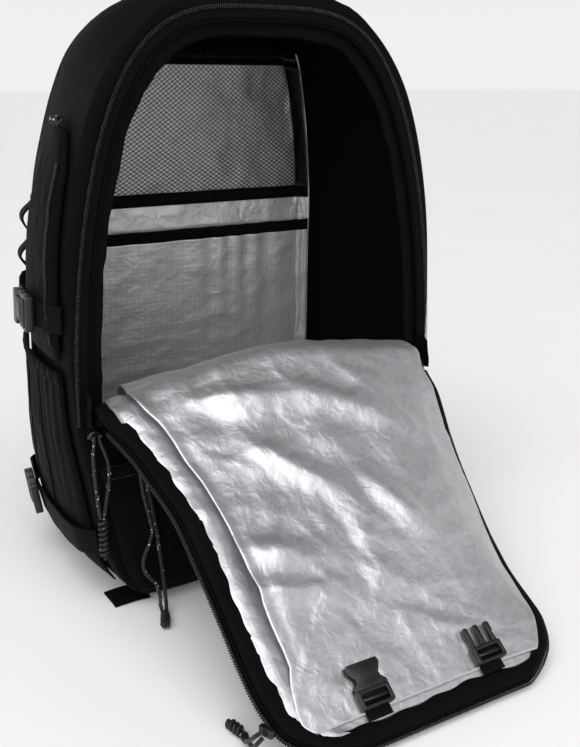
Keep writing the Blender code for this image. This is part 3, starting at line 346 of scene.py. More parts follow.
# %% Silver film and silver ripstop
def silver(name, colour, dull, roughness, cell, grid=0.0, crease=0.55, metal=0.92):
    finish, tree, shader = new_finish(name, colour, roughness, metal)
    place = add_node(tree, "ShaderNodeTexCoord")
    bend = add_node(
        tree,
        "ShaderNodeTexNoise",
        {"Vector": place.outputs["Object"], "Scale": 40.0, "Detail": 3.0},
    )
    moved = add_node(
        tree,
        "ShaderNodeMix",
        {"Factor": 0.02, 4: place.outputs["Object"], 5: bend.outputs["Color"]},
        data_type="VECTOR",
    )
    creases = add_node(
        tree,
        "ShaderNodeTexVoronoi",
        {"Vector": moved.outputs[1], "Scale": 1 / cell},
        feature="F1",
    )
    ripples = add_node(
        tree,
        "ShaderNodeTexNoise",
        {"Vector": place.outputs["Object"], "Scale": 300.0, "Detail": 5.0, "Roughness": 0.65},
    )
    broad = add_node(
        tree,
        "ShaderNodeTexNoise",
        {"Vector": place.outputs["Object"], "Scale": 90.0, "Detail": 4.0, "Distortion": 1.2},
    )
    low = add_node(
        tree,
        "ShaderNodeBump",
        {"Strength": crease, "Distance": 0.003, "Height": broad.outputs["Fac"]},
    )
    middle = add_node(
        tree,
        "ShaderNodeBump",
        {
            "Strength": crease * 0.45,
            "Distance": 0.0016,
            "Height": creases.outputs["Distance"],
            "Normal": low.outputs["Normal"],
        },
    )
    high = add_node(
        tree,
        "ShaderNodeBump",
        {
            "Strength": 0.14,
            "Distance": 0.0005,
            "Height": ripples.outputs["Fac"],
            "Normal": middle.outputs["Normal"],
        },
    )
    normal = high.outputs["Normal"]
    tone = add_node(
        tree,
        "ShaderNodeMix",
        {"Factor": broad.outputs["Fac"], 6: linear(colour), 7: linear(dull)},
        data_type="RGBA",
    )
    shade = tone.outputs[2]
    if grid:
        lines = []
        for direction in ("X", "Y"):
            wave = add_node(
                tree,
                "ShaderNodeTexWave",
                {
                    "Vector": place.outputs["UV"],
                    "Scale": math.pi / (grid * 20),
                    "Distortion": 0.3,
                },
                bands_direction=direction,
            )
            lines.append(
                add_node(
                    tree,
                    "ShaderNodeMapRange",
                    {"Value": wave.outputs["Fac"], "From Min": 0.86, "From Max": 0.98},
                ).outputs["Result"]
            )
        both = add_node(tree, "ShaderNodeMath", {0: lines[0], 1: lines[1]}, operation="MAXIMUM")
        threads = add_node(
            tree,
            "ShaderNodeBump",
            {"Strength": 0.22, "Distance": 0.0004, "Height": both.outputs[0], "Normal": normal},
        )
        normal = threads.outputs["Normal"]
        ruled = add_node(
            tree,
            "ShaderNodeMix",
            {"Factor": both.outputs[0], 6: shade, 7: linear("#c3c4c7")},
            data_type="RGBA",
        )
        shade = ruled.outputs[2]
    gloss = add_node(
        tree,
        "ShaderNodeMapRange",
        {
            "Value": ripples.outputs["Fac"],
            "To Min": roughness - 0.07,
            "To Max": roughness + 0.14,
        },
    )
    tree.links.new(gloss.outputs["Result"], shader.inputs["Roughness"])
    tree.links.new(shade, shader.inputs["Base Color"])
    tree.links.new(normal, shader.inputs["Normal"])
    return finish


FILM = silver("aluminised_film", "#d6d6d9", "#b8b9bc", 0.38, 0.009, 0.0, 0.20, 0.85)
BACK_FILM = silver("aluminised_film_back", "#dcdde0", "#c4c5c8", 0.40, 0.009, 0.0, 0.35, 0.6)
RIPSTOP = silver("aluminised_ripstop", "#d8d9dc", "#bfc0c4", 0.44, 0.012, 0.0022, 0.25, 0.6)

# %% [markdown]
# ## Moulded plastics, coil and cord
# Buckles and sliders are moulded acetal: dark, faintly grained, with a low gloss. The zip coil
# is bare nylon monofilament and shines more. The cord's woven sleeve carries pale flecks about
# 1 mm long, which is how reflective yarn shows.


# %% Plastics, thread and cord
def grained(name, colour, roughness, scale, strength):
    finish, tree, shader = new_finish(name, colour, roughness)
    place = add_node(tree, "ShaderNodeTexCoord")
    grain = add_node(
        tree,
        "ShaderNodeTexNoise",
        {"Vector": place.outputs["Object"], "Scale": scale, "Detail": 3.0},
    )
    bump = add_node(
        tree,
        "ShaderNodeBump",
        {"Strength": strength, "Distance": 0.0003, "Height": grain.outputs["Fac"]},
    )
    gloss = add_node(
        tree,
        "ShaderNodeMapRange",
        {"Value": grain.outputs["Fac"], "To Min": roughness - 0.06, "To Max": roughness + 0.1},
    )
    tree.links.new(gloss.outputs["Result"], shader.inputs["Roughness"])
    tree.links.new(bump.outputs["Normal"], shader.inputs["Normal"])
    return finish


ACETAL = grained("moulded_acetal", "#0e0f10", 0.36, 1400.0, 0.25)
COIL = grained("nylon_monofilament_coil", "#0a0a0a", 0.26, 900.0, 0.1)
THREAD = grained("polyester_thread", "#1c1c1e", 0.6, 2500.0, 0.3)
TACK_THREAD = grained("orange_polyester_thread", "#e0402a", 0.6, 2500.0, 0.3)


def flecked_sleeve():
    finish, tree, shader = new_finish("woven_cord_sleeve", "#080808", 0.62)
    place = add_node(tree, "ShaderNodeTexCoord")
    yarns = add_node(
        tree,
        "ShaderNodeTexVoronoi",
        {"Vector": place.outputs["Object"], "Scale": 900.0},
        feature="F1",
    )
    fleck = add_node(
        tree,
        "ShaderNodeMapRange",
        {"Value": yarns.outputs["Color"], "From Min": 0.86, "From Max": 0.88},
    )
    colour = add_node(
        tree,
        "ShaderNodeMix",
        {"Factor": fleck.outputs["Result"], 6: linear("#080808"), 7: linear("#c9c7c0")},
        data_type="RGBA",
    )
    bump = add_node(
        tree,
        "ShaderNodeBump",
        {"Strength": 0.6, "Distance": 0.0004, "Height": yarns.outputs["Distance"]},
    )
    tree.links.new(colour.outputs[2], shader.inputs["Base Color"])
    tree.links.new(bump.outputs["Normal"], shader.inputs["Normal"])
    return finish


SLEEVE = flecked_sleeve()

# %% [markdown]
# ## Knots
# Each grip is a barrel knot: the strands run down the middle and one of them winds round them.
# A helix with a tube section gives the turns, and its ends tuck in.


# %% Knots and cords
def winding(start, end, turns, radius, steps=12):
    """A helix from one place to another, drawn in at both ends."""
    first, last = Vector(start), Vector(end)
    axis = (last - first).normalized()
    aside = axis.orthogonal().normalized()
    other = axis.cross(aside)
    points = []
    for k in range(turns * steps + 1):
        t = k / (turns * steps)
        angle = 2 * math.pi * turns * t
        reach = radius * min(1.0, 0.25 + 6 * t, 0.25 + 6 * (1 - t))
        turn = aside * math.cos(angle) + other * math.sin(angle)
        points.append(first.lerp(last, t) + turn * reach)
    return points


for name, (start, end, turns) in KNOTS.items():
    # The winding stays inside the solid's 8.5 mm, so its centre runs at 2.7 mm.
    made = tube("wound_" + name, winding(start, end, turns, 0.0027), CORD * 0.48, 3)
    wear(made, SLEEVE, "cord", name)
for name, points in PULLS.items():
    route, length = smooth_route(points, 24)
    strand = wear(tube("strand_" + name, route, CORD / 2, 3), SLEEVE, "cord", name)
    print(name, round(length * 1000, 1), "mm")

# %% [markdown]
# ## Floor and light
# A pale sweep under a broad scrim, which is a sun as wide as 75 degrees, so its shadows are
# soft and the floor is even. Three weak softboxes add highlights: over the left shoulder, low
# on the right, and in front on the left, for the inside of the back. The sky is bright near
# the horizon and darker overhead: without a dark part to mirror, crumpled film looks like paper.

# %% Floor, lamps and sky
FLOOR_SIZE = 90.0


def make_floor():
    bm = bmesh.new()
    bmesh.ops.create_grid(bm, x_segments=1, y_segments=1, size=FLOOR_SIZE / 2)
    mesh = bpy.data.meshes.new("studio_floor")
    bm.to_mesh(mesh)
    bm.free()
    floor = bpy.data.objects.new("studio_floor", mesh)
    bpy.context.scene.collection.objects.link(floor)
    finish, tree, shader = new_finish("painted_floor", "#f4f4f3", 0.75)
    place = add_node(tree, "ShaderNodeTexCoord")
    mottle = add_node(
        tree,
        "ShaderNodeTexNoise",
        {"Vector": place.outputs["Object"], "Scale": 3.0, "Detail": 2.0},
    )
    tint = add_node(
        tree,
        "ShaderNodeMix",
        {"Factor": mottle.outputs["Fac"], 6: linear("#fbfbfa"), 7: linear("#f7f7f6")},
        data_type="RGBA",
    )
    tree.links.new(tint.outputs[2], shader.inputs["Base Color"])
    floor.data.materials.append(finish)


def add_lamp(name, place, aim, size, power):
    lamp = bpy.data.lights.new(name, "AREA")
    lamp.shape = "RECTANGLE"
    lamp.size, lamp.size_y = size
    lamp.energy = power
    obj = bpy.data.objects.new(name, lamp)
    obj.location = place
    obj.rotation_euler = (Vector(aim) - Vector(place)).to_track_quat("-Z", "Y").to_euler()
    bpy.context.scene.collection.objects.link(obj)


def make_sky():
    world = bpy.data.worlds.new("studio")
    bpy.context.scene.world = world
    world.use_nodes = True
    tree = world.node_tree
    place = add_node(tree, "ShaderNodeTexCoord")
    height = add_node(tree, "ShaderNodeSeparateXYZ", {"Vector": place.outputs["Generated"]})
    share = add_node(
        tree,
        "ShaderNodeMapRange",
        {"Value": height.outputs["Z"], "From Min": 0.06, "From Max": 0.70},
    )
    colour = add_node(
        tree,
        "ShaderNodeMix",
        {"Factor": share.outputs["Result"], 6: linear("#f0f0f0"), 7: linear("#6c6c6e")},
        data_type="RGBA",
    )
    tree.links.new(colour.outputs[2], tree.nodes["Background"].inputs["Color"])
    tree.nodes["Background"].inputs["Strength"].default_value = 1.0


make_floor()
make_sky()
add_lamp("key_softbox", (-0.9, -0.7, 1.9), (0.0, -0.1, 0.1), (1.2, 0.8), 5)
add_lamp("fill_softbox", (1.3, -1.2, 0.9), (0.0, -0.2, 0.1), (0.6, 1.0), 1.2)
add_lamp("front_softbox", (-1.4, -1.9, 0.8), (0.05, 0.0, 0.30), (1.0, 0.8), 4)
SCRIM_TOWARDS = Vector((-0.34, -0.50, 0.80))
SCRIM_POWER, SCRIM_ANGLE = 2.40, 75
scrim_data = bpy.data.lights.new("overhead_scrim", "SUN")
scrim_data.energy = SCRIM_POWER
scrim_data.angle = math.radians(SCRIM_ANGLE)
scrim = bpy.data.objects.new("overhead_scrim", scrim_data)
scrim.rotation_euler = SCRIM_TOWARDS.to_track_quat("Z", "Y").to_euler()
bpy.context.scene.collection.objects.link(scrim)
bpy.context.scene.view_settings.view_transform = "Standard"

# %% [markdown]
# ## Cloth as a warped grid
# Every flat piece of cloth starts as a grid, the way it was cut from a roll. A place function
# says where a share across and up ends in space, Solidify gives the thickness, and the grid's
# real size becomes its UV map, so that a weave keeps its scale and follows the surface.


# %% Cloth helper
def spread(low, high, steps):
    return [low + (high - low) * k / steps for k in range(steps + 1)]


def blend(low, high, share):
    return low + (high - low) * share


def clamp(value, low=0.0, high=1.0):
    return min(max(value, low), high)


def link_mesh(name, bm, smooth=True):
    mesh = bpy.data.meshes.new(name)
    bm.to_mesh(mesh)
    bm.free()
    if smooth:
        mesh.shade_smooth()
    obj = bpy.data.objects.new(name, mesh)
    bpy.context.scene.collection.objects.link(obj)
    return obj


def warped_grid(columns, rows, place, size):
    """A grid of cloth of a real size, warped into space, with its UV map in metres."""
    bm = bmesh.new()
    bmesh.ops.create_grid(bm, x_segments=columns, y_segments=rows, size=0.5)
    layer = bm.loops.layers.uv.new("cloth")
    shares = {vert: (vert.co.x + 0.5, vert.co.y + 0.5) for vert in bm.verts}
    for face in bm.faces:
        for loop in face.loops:
            s, t = shares[loop.vert]
            loop[layer].uv = (s * size[0], t * size[1])
    for vert, (s, t) in shares.items():
        vert.co = place(s, t)
    return bm


def cloth(name, columns, rows, place, thick, size, offset=0.0):
    obj = link_mesh(name, warped_grid(columns, rows, place, size))
    wall = obj.modifiers.new("thickness", "SOLIDIFY")
    wall.thickness = thick
    wall.offset = offset
    return obj


def fold_noise(point, size, seed):
    return noise.noise(Vector(point) / size + Vector((seed, seed * 1.7, seed * 0.3)))


def crumple(point, size, seed):
    """Soft ridges: sharp on top, round below, as crushed cloth has."""
    first = 1 - abs(fold_noise(point, size, seed)) * 2
    second = 1 - abs(fold_noise(point, size * 0.47, seed + 5)) * 2
    return 0.68 * first + 0.32 * second


# %% [markdown]
# ## The skin of the bag
# The body is drawn level by level: each row gives a height, three half widths and two depths.
# The same table drives the solids, so every strap and pocket can be placed by asking for a
# point at an index round the bag, a height, and a distance from the cloth.

# %% Body table and skin
HALF_WIDTH, HEIGHT = 0.1758, 0.492
FRONT_DEPTH, BACK_DEPTH = 0.130, 0.082
FRONT_RADIUS, BACK_RADIUS = 0.006, 0.026
WALL = 0.003
TURN = 38
BODY_ROWS = (
    (0.000, 0.670, 0.670, 0.565, 0.885, 0.760),
    (0.012, 0.755, 0.755, 0.640, 0.955, 0.865),
    (0.036, 0.830, 0.838, 0.725, 0.995, 0.950),
    (0.090, 0.905, 0.925, 0.835, 1.000, 0.995),
    (0.165, 0.945, 0.962, 0.880, 0.985, 1.000),
    (0.244, 0.970, 0.983, 0.898, 0.915, 0.995),
    (0.305, 0.985, 0.990, 0.900, 0.8385, 0.985),
    (0.370, 0.995, 0.995, 0.900, 0.8385, 0.970),
    (0.450, 1.000, 1.000, 0.895, 0.8385, 0.945),
    (0.530, 0.992, 0.992, 0.888, 0.8385, 0.905),
    (0.610, 0.974, 0.974, 0.878, 0.8385, 0.850),
    (0.690, 0.938, 0.932, 0.848, 0.8385, 0.780),
    (0.770, 0.882, 0.872, 0.805, 0.8385, 0.685),
    (0.840, 0.806, 0.804, 0.752, 0.8385, 0.590),
    (0.895, 0.708, 0.735, 0.695, 0.8385, 0.490),
    (0.938, 0.592, 0.655, 0.610, 0.8385, 0.380),
    (0.969, 0.468, 0.560, 0.505, 0.8385, 0.260),
    (0.988, 0.340, 0.460, 0.340, 0.780, 0.110),
    (1.000, 0.260, 0.300, 0.260, 0.640, -0.060),
)


def read_rows(rows, column, at):
    """A smooth curve through one column of a table whose first column rises."""
    k = 0
    while k < len(rows) - 2 and rows[k + 1][0] < at:
        k += 1
    x0, x1 = rows[k][0], rows[k + 1][0]
    y0, y1 = rows[k][column], rows[k + 1][column]
    before = rows[max(k - 1, 0)]
    after = rows[min(k + 2, len(rows) - 1)]
    slope0 = (y1 - before[column]) / (x1 - before[0])
    slope1 = (after[column] - y0) / (after[0] - x0)
    t = clamp((at - x0) / (x1 - x0))
    ends = (2 * t**3 - 3 * t**2 + 1) * y0 + (3 * t**2 - 2 * t**3) * y1
    return ends + (x1 - x0) * ((t**3 - 2 * t**2 + t) * slope0 + (t**3 - t**2) * slope1)


ROW_CACHE = {}


def level_row(z):
    key = round(z, 6)
    if key not in ROW_CACHE:
        at = clamp(z / HEIGHT)
        ROW_CACHE[key] = [read_rows(BODY_ROWS, column, at) for column in range(1, 6)]
    return ROW_CACHE[key]


def raw_skin(index, z):
    front, middle, back, ahead, behind = level_row(z)
    front, middle, back = front * HALF_WIDTH, middle * HALF_WIDTH, back * HALF_WIDTH
    front_y, back_y = -ahead * FRONT_DEPTH, behind * BACK_DEPTH
    front_radius = min(FRONT_RADIUS, 0.3 * front)
    back_radius = min(BACK_RADIUS, 0.45 * back, 0.3 * (back_y - front_y))
    index = index % TURN
    side = 1
    if index > TURN / 2:
        index, side = TURN - index, -1
    if index <= 2:
        x, y = (front - front_radius) * index / 2, front_y
    elif index <= 5:
        angle = math.pi / 2 * (index - 2) / 3
        x = front - front_radius * (1 - math.sin(angle))
        y = front_y + front_radius * (1 - math.cos(angle))
    elif index <= 11:
        t = (index - 5) / 6
        x = front * (t - 0.4) * (t - 1) / 0.4 + middle * t * (t - 1) / (0.4 * -0.6)
        x += back * t * (t - 0.4) / 0.6
        y = blend(front_y + front_radius, back_y - back_radius, t)
    elif index <= 15:
        angle = math.pi / 2 * (index - 11) / 4
        x = back - back_radius * (1 - math.cos(angle))
        y = back_y - back_radius * (1 - math.sin(angle))
    else:
        x, y = (back - back_radius) * (1 - (index - 15) / 4), back_y
    return Vector((side * x, y, z))


def skin(index, z, out=0.0, side=1):
    """A point on the bag's cloth, or at a distance from it. Index 0 is the front's middle."""
    point = raw_skin(index, z)
    if out:
        around = raw_skin(index + 0.3, z) - raw_skin(index - 0.3, z)
        upward = raw_skin(index, min(z + 0.006, HEIGHT)) - raw_skin(index, max(z - 0.006, 0.0))
        point = point + around.cross(upward).normalized() * out
    return Vector((side * point.x, point.y, point.z))


# %% [markdown]
# ## The mouth
# The zip runs round an arch that is rounder at its shoulders than a circle. One function gives
# its line at any distance inwards, for the hole in the cloth and for each tape along it.

# %% Mouth outline
MOUTH_DEPTH, MOUTH_HALF, MOUTH_TOP = 0.109, 0.1735, 0.476
MOUTH_SPRING, MOUTH_FOOT, SILL = 0.180, 0.160, 0.166
ARCH_STEPS = 48


def arch(inset, foot=MOUTH_FOOT):
    half = MOUTH_HALF - inset
    rise = MOUTH_TOP - MOUTH_SPRING - inset
    right = []
    for k in range(ARCH_STEPS + 1):
        angle = math.pi / 2 * (1 - (1 - k / ARCH_STEPS) ** 1.5)
        x = half * max(math.cos(angle), 0.0) ** (2 / 3.72) if k < ARCH_STEPS else 0.0
        right.append((x, MOUTH_SPRING + rise * math.sin(angle) ** (2 / 1.74)))
    left = [(-x, z) for x, z in right]
    return [(-half, foot)] + left + right[-2::-1] + [(half, foot)]


def arch_line(inset, y, count, foot=MOUTH_FOOT):
    return even_points([Vector((x, y, z)) for x, z in arch(inset, foot)], count)


# %% [markdown]
# ## The body
# The grid is wrapped into a tube, drawn in to a line at the top and the bottom and welded, so
# it is one closed sack. Solidify turns it into a 3 mm wall, padding included, and a Boolean
# with the arch opens the front. The cloth is pushed in, never out, so the pockets stay clear.

# %% Body sack
CAP_ROWS = 4


def body_place(s, t):
    rows = 100
    step = t * (rows + 2 * CAP_ROWS)
    index = s * TURN
    if step < CAP_ROWS:
        edge, share, z = raw_skin(index, 0.0), step / CAP_ROWS, 0.0
    elif step > rows + CAP_ROWS:
        edge = raw_skin(index, HEIGHT)
        share, z = (rows + 2 * CAP_ROWS - step) / CAP_ROWS, HEIGHT
    else:
        z = HEIGHT * (step - CAP_ROWS) / rows
        point = skin(index, z, 0.00001)
        dent = 0.0009 * (1 + fold_noise(point, 0.045, 3)) * 0.8
        low = clamp((0.15 - z) / 0.10)
        dent += 0.0018 * low * max(0.0, crumple(point, 0.035, 11) - 0.2)
        ends = clamp(min(z, HEIGHT - z) / 0.01)
        near_mouth = point.y < -0.106 and z > 0.15
        return skin(index, z, -0.00001 - (0.0 if near_mouth else dent * ends))
    centre = Vector((0.0, -0.020 if z > 0.1 else -0.01, z))
    return centre.lerp(edge, share)


def make_body():
    size = (1.05, HEIGHT)
    bm = warped_grid(TURN * 4, 100 + 2 * CAP_ROWS, body_place, size)
    bmesh.ops.remove_doubles(bm, verts=bm.verts, dist=0.00002)
    bmesh.ops.recalc_face_normals(bm, faces=bm.faces)
    body = link_mesh("sewn_body", bm)
    wall = body.modifiers.new("wall", "SOLIDIFY")
    wall.thickness = WALL
    wall.offset = -1.0
    outline = [(x, max(z, SILL)) for x, z in arch(0.012)]
    bm = bmesh.new()
    face = bm.faces.new([bm.verts.new((x, -0.14, z)) for x, z in outline])
    moved = bmesh.ops.extrude_face_region(bm, geom=[face])
    verts = [item for item in moved["geom"] if isinstance(item, bmesh.types.BMVert)]
    bmesh.ops.translate(bm, verts=verts, vec=(0.0, 0.045, 0.0))
    bmesh.ops.recalc_face_normals(bm, faces=bm.faces)
    cutter = link_mesh("mouth_cutter", bm, False)
    cut = body.modifiers.new("mouth", "BOOLEAN")
    cut.operation, cut.solver, cut.object = "DIFFERENCE", "EXACT", cutter
    graph = bpy.context.evaluated_depsgraph_get()
    opened = bpy.data.meshes.new_from_object(body.evaluated_get(graph))
    body.modifiers.clear()
    body.data = opened
    opened.shade_smooth()
    opened.set_sharp_from_angle(angle=math.radians(45))
    bpy.data.objects.remove(cutter)
    wear(body, NYLON, "nylon_cloth", "body_shell")
    print("body", len(opened.polygons), "faces")


make_body()

# %% [markdown]
# ## Zip coil
# A coil zip's teeth are one spring of nylon monofilament, sewn to its tape. A helix that
# follows the edge gives each tooth its real round shape. The real pitch is about 1.5 mm.


# %% Coil helper
def coil(name, line, sideways, upwards, reach, pitch, wire):
    """A helix along a line of points, with a frame for each point."""
    count = len(line)
    length = sum((q - p).length for p, q in zip(line, line[1:]))
    turns = int(length / pitch)
    points = []
    for k in range(turns * 6 + 1):
        at = k / (turns * 6) * (count - 1)
        j = min(int(at), count - 2)
        share = at - j
        centre = line[j].lerp(line[j + 1], share)
        aside = sideways[j].lerp(sideways[j + 1], share)
        up = upwards[j].lerp(upwards[j + 1], share)
        angle = 2 * math.pi * k / 6
        points.append(centre + aside * math.cos(angle) * reach[0] + up * math.sin(angle) * reach[1])
    made = tube(name, points, wire, 0)
    return wear(made, COIL, "coil_zip")


def across_line(line, facing):
    """Unit vectors square to a line and to the way that it faces."""
    found = []
    for k in range(len(line)):
        ahead = line[min(k + 1, len(line) - 1)] - line[max(k - 1, 0)]
        found.append(ahead.cross(facing).normalized())
    return found


# %% [markdown]
# ## Zip and facing round the mouth
# From the outside in: the coil, its woven tape, a piped seam, then a loose facing that waves
# because it is sewn to a curve. The waves are what makes it read as cloth.


# %% Mouth trims
def band_place(outer, inner, y, wave=0.0, crown=0.0):
    lines = [arch_line(outer, y, 400)[0], arch_line(inner, y, 400)[0]]

    def place(s, t):
        at = s * 399
        k = min(int(at), 398)
        a = lines[0][k].lerp(lines[0][k + 1], at - k)
        b = lines[1][k].lerp(lines[1][k + 1], at - k)
        point = a.lerp(b, t)
        point.y -= crown * (1 - (2 * t - 1) ** 2)
        if wave:
            swing = fold_noise((s * 34, 0, 0), 1.0, 5) * 1.6
            swing += 0.5 * fold_noise((s * 90, 0, 0), 1.0, 8)
            point += (a - b).normalized() * swing * wave * t
            point.y += 0.0012 * fold_noise((s * 40, t, 0), 1.0, 2) * t
        return point

    return place


def make_mouth():
    front = -MOUTH_DEPTH - 0.0003
    line, length = arch_line(0.0020, front - 0.0013, 500)
    facing = Vector((0.0, -1.0, 0.0))
    teeth = coil(
        "mouth_coil",
        line,
        across_line(line, facing),
        [facing] * len(line),
        (0.0019, 0.0011),
        0.0019,
        0.00052,
    )
    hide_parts("mouth_zip")
    tape = cloth(
        "mouth_zip_tape", 300, 4, band_place(0.0030, 0.0115, front - 0.0010), 0.0007, (0.95, 0.009)
    )
    wear(tape, BINDING, "lining_cloth")
    pipe_line, _ = arch_line(0.0125, front - 0.0014, 260, SILL)
    wear(tube("mouth_piping", pipe_line, 0.0014, 2), LINING, "lining_cloth")
    inside = -MOUTH_DEPTH + WALL + 0.0012
    facing_band = cloth(
        "mouth_facing_band",
        300,
        6,
        band_place(0.0080, 0.0235, inside, 0.0014, 0.0012),
        0.0010,
        (0.95, 0.016),
    )
    wear(facing_band, BINDING, "lining_cloth", "mouth_facing")
    print("mouth zip", round(length * 1000), "mm")


make_mouth()

# %% [markdown]
# ## Inside the back
# The back panel is lined with silver film. Two pockets cross it: black net above, silver
# ripstop below, each with a bound edge. They hang from the same skin, a little in from it,
# and sag forwards between their seams.

# %% Inner back and its pockets
BACK_START = 15
INNER_FACE = -(WALL + 0.0003) - 0.008
PANEL = (BACK_START - 3.4, TURN - BACK_START + 3.4)
POCKETS = (PANEL[0] + 0.6, PANEL[1] - 0.6)
FILM_SPAN = (POCKETS[0] + 0.05, POCKETS[1] - 0.05)
NET_BOTTOM, NET_TOP = 0.318, 0.438
SLIP_BOTTOM, SLIP_TOP = 0.030, 0.272
HEM_HIGH = 0.011


def hump(share, power=2.0):
    return (1 - abs(2 * share - 1) ** power) ** (1 / power)


def panel_place(span, bottom, top, out):
    def place(s, t):
        index, z = blend(*span, s), blend(bottom, top, t)
        return skin(index, z, out(s, t))

    return place


def liner_out(s, t):
    point = (s * 0.34, t * 0.44, 0.0)
    creases = crumple(point, 0.034, 21) + 0.5 * crumple((s * 0.5, t * 0.3, 1.0), 0.02, 8)
    edges = clamp(min(s, 1 - s, t, 1 - t) / 0.03)
    return INNER_FACE + 0.0012 - 0.0016 * max(0.0, creases) * edges


def net_out(s, t):
    return INNER_FACE - 0.0016 - 0.0040 * hump(s) * hump(t) - 0.0008 * fold_noise((s, t, 0), 0.2, 4)


def slip_out(s, t):
    gathers = 0.0008 * math.sin(s * 92 + 3 * math.sin(s * 17)) * t**2
    creases = 0.0011 * crumple((s * 0.30, t * 0.24, 0.0), 0.03, 31)
    return INNER_FACE - 0.0018 - 0.0030 * hump(s) * t - (gathers + creases) * hump(s, 8)


def make_net():
    """Open net: each cell of a grid is turned to a diamond and left as its outline."""
    place = panel_place(POCKETS, NET_BOTTOM, NET_TOP, net_out)
    columns, rows = 68, 28
    bm = bmesh.new()
    bmesh.ops.create_grid(bm, x_segments=columns, y_segments=rows, size=0.5)
    old = list(bm.edges)
    bmesh.ops.poke(bm, faces=bm.faces)
    inner = [edge for edge in old if len(edge.link_faces) == 2]
    bmesh.ops.dissolve_edges(bm, edges=inner, use_verts=False)
    for vert in bm.verts:
        vert.co = place(clamp(vert.co.x + 0.5), clamp(vert.co.y + 0.5))
    bmesh.ops.wireframe(
        bm,
        faces=bm.faces,
        thickness=0.00085,
        use_replace=True,
        use_boundary=True,
        use_even_offset=False,
    )
    net = link_mesh("open_net", bm, False)
    wear(net, NET, "net", "mesh_pocket")
    # Half of an open net is holes, so only about half of the cut is given as its area. Real
    # net has holes near 2 mm; these are drawn about twice as wide, to be seen at this size.
    print("net", len(net.data.polygons), "faces")


def strip(name, bottom, top, out, finish, slot, thick=0.0016, *nodes):
    place = panel_place(POCKETS, bottom, top, out)
    band = cloth(name, 120, 6, place, thick, (0.33, top - bottom))
    return wear(band, finish, slot, *nodes)


def make_inner_back():
    size = (0.40, 0.440)
    liner = cloth(
        "back_lining_film", 90, 120, panel_place(FILM_SPAN, 0.022, 0.450, liner_out), 0.0008, size
    )
    wear(liner, BACK_FILM, "silver_film", "back_liner")
    make_net()
    slip = cloth(
        "slip_pocket_cloth",
        150,
        110,
        panel_place(POCKETS, SLIP_BOTTOM, SLIP_TOP, slip_out),
        0.0009,
        (0.33, 0.242),
    )
    wear(slip, RIPSTOP, "silver_ripstop", "slip_pocket")

    def net_hem(s, t):
        return INNER_FACE - 0.0018 - 0.0007 * (1 - (2 * t - 1) ** 4)

    def slip_hem(s, t):
        return slip_out(s, 1.0) - 0.0008 * (1 - (2 * t - 1) ** 4)

    bottom = NET_BOTTOM - 0.0003 - HEM_HIGH
    strip(
        "net_pocket_binding",
        bottom,
        bottom + HEM_HIGH,
        net_hem,
        BINDING,
        "lining_cloth",
        0.0016,
        "mesh_pocket_hem",
    )
    strip(
        "slip_pocket_binding",
        SLIP_TOP,
        SLIP_TOP + HEM_HIGH,
        slip_hem,
        BINDING,
        "lining_cloth",
        0.0016,
        "slip_pocket_hem",
    )
    strip(
        "net_pocket_zip_tape",
        NET_TOP,
        NET_TOP + 0.018,
        net_hem,
        LINING,
        "coil_zip",
        0.0014,
        "mesh_pocket_zip",
    )
    line = [skin(index, NET_TOP + 0.009, INNER_FACE - 0.0032) for index in spread(*POCKETS, 80)]
    outward = [Vector((0.0, -1.0, 0.0))] * len(line)
    across = across_line(line, outward[0])
    coil("net_pocket_coil", line, across, outward, (0.0019, 0.0008), 0.002, 0.0005)


make_inner_back()

# %% [markdown]
# ## The folded front panel
# The panel stands 16 mm up from its hinge, rolls over a 22 mm fold and runs down to the floor.
# Its right side hangs a little, and its crest is arched. These few functions are the same as
# the solids', so the lining, the zip and the buckles can all be placed on it by two shares:
# how far along, and how far across.

# %% Flap surface
FLAP_LENGTH, FLAP_THICK = 0.364, 0.012
FOLD_RADIUS, FOLD_RISE = 0.022, 0.016
CREST_DROP, CREST_POWER, CREST_END = 0.023, 1.5, 0.50
RIGHT_DROP = 0.036
SLOPE = 0.6583644
FLAP_START = -(MOUTH_DEPTH + 0.0003)
FLAP_ROWS = (
    (0.000, -0.930, 0.900, 0.00),
    (0.150, -0.942, 0.850, 0.00),
    (0.205, -0.934, 0.806, 0.05),
    (0.255, -0.905, 0.804, 0.20),
    (0.310, -0.879, 0.787, 0.45),
    (0.370, -0.862, 0.758, 0.68),
    (0.450, -0.838, 0.723, 0.88),
    (0.530, -0.830, 0.697, 1.00),
    (0.640, -0.827, 0.660, 0.98),
    (0.720, -0.827, 0.640, 0.88),
    (0.815, -0.827, 0.617, 0.58),
    (0.885, -0.813, 0.585, 0.30),
    (0.940, -0.767, 0.520, 0.13),
    (0.975, -0.655, 0.435, 0.05),
    (1.000, -0.475, 0.330, 0.00),
)


def flap_path(run):
    bend = MOUTH_FOOT + FOLD_RISE
    if run <= FOLD_RISE:
        return FLAP_START, MOUTH_FOOT + run
    angle = (run - FOLD_RISE) / FOLD_RADIUS
    end = math.pi / 2 + SLOPE
    centre = FLAP_START - FOLD_RADIUS
    turned = min(angle, end)
    y = centre + FOLD_RADIUS * math.cos(turned)
    z = bend + FOLD_RADIUS * math.sin(turned)
    further = max(0.0, run - FOLD_RISE - FOLD_RADIUS * end)
    return y - further * math.cos(SLOPE), z - further * math.sin(SLOPE)


def flap_edges(along):
    at = clamp(along)
    return (
        read_rows(FLAP_ROWS, 1, at) * MOUTH_HALF,
        read_rows(FLAP_ROWS, 2, at) * MOUTH_HALF,
    )


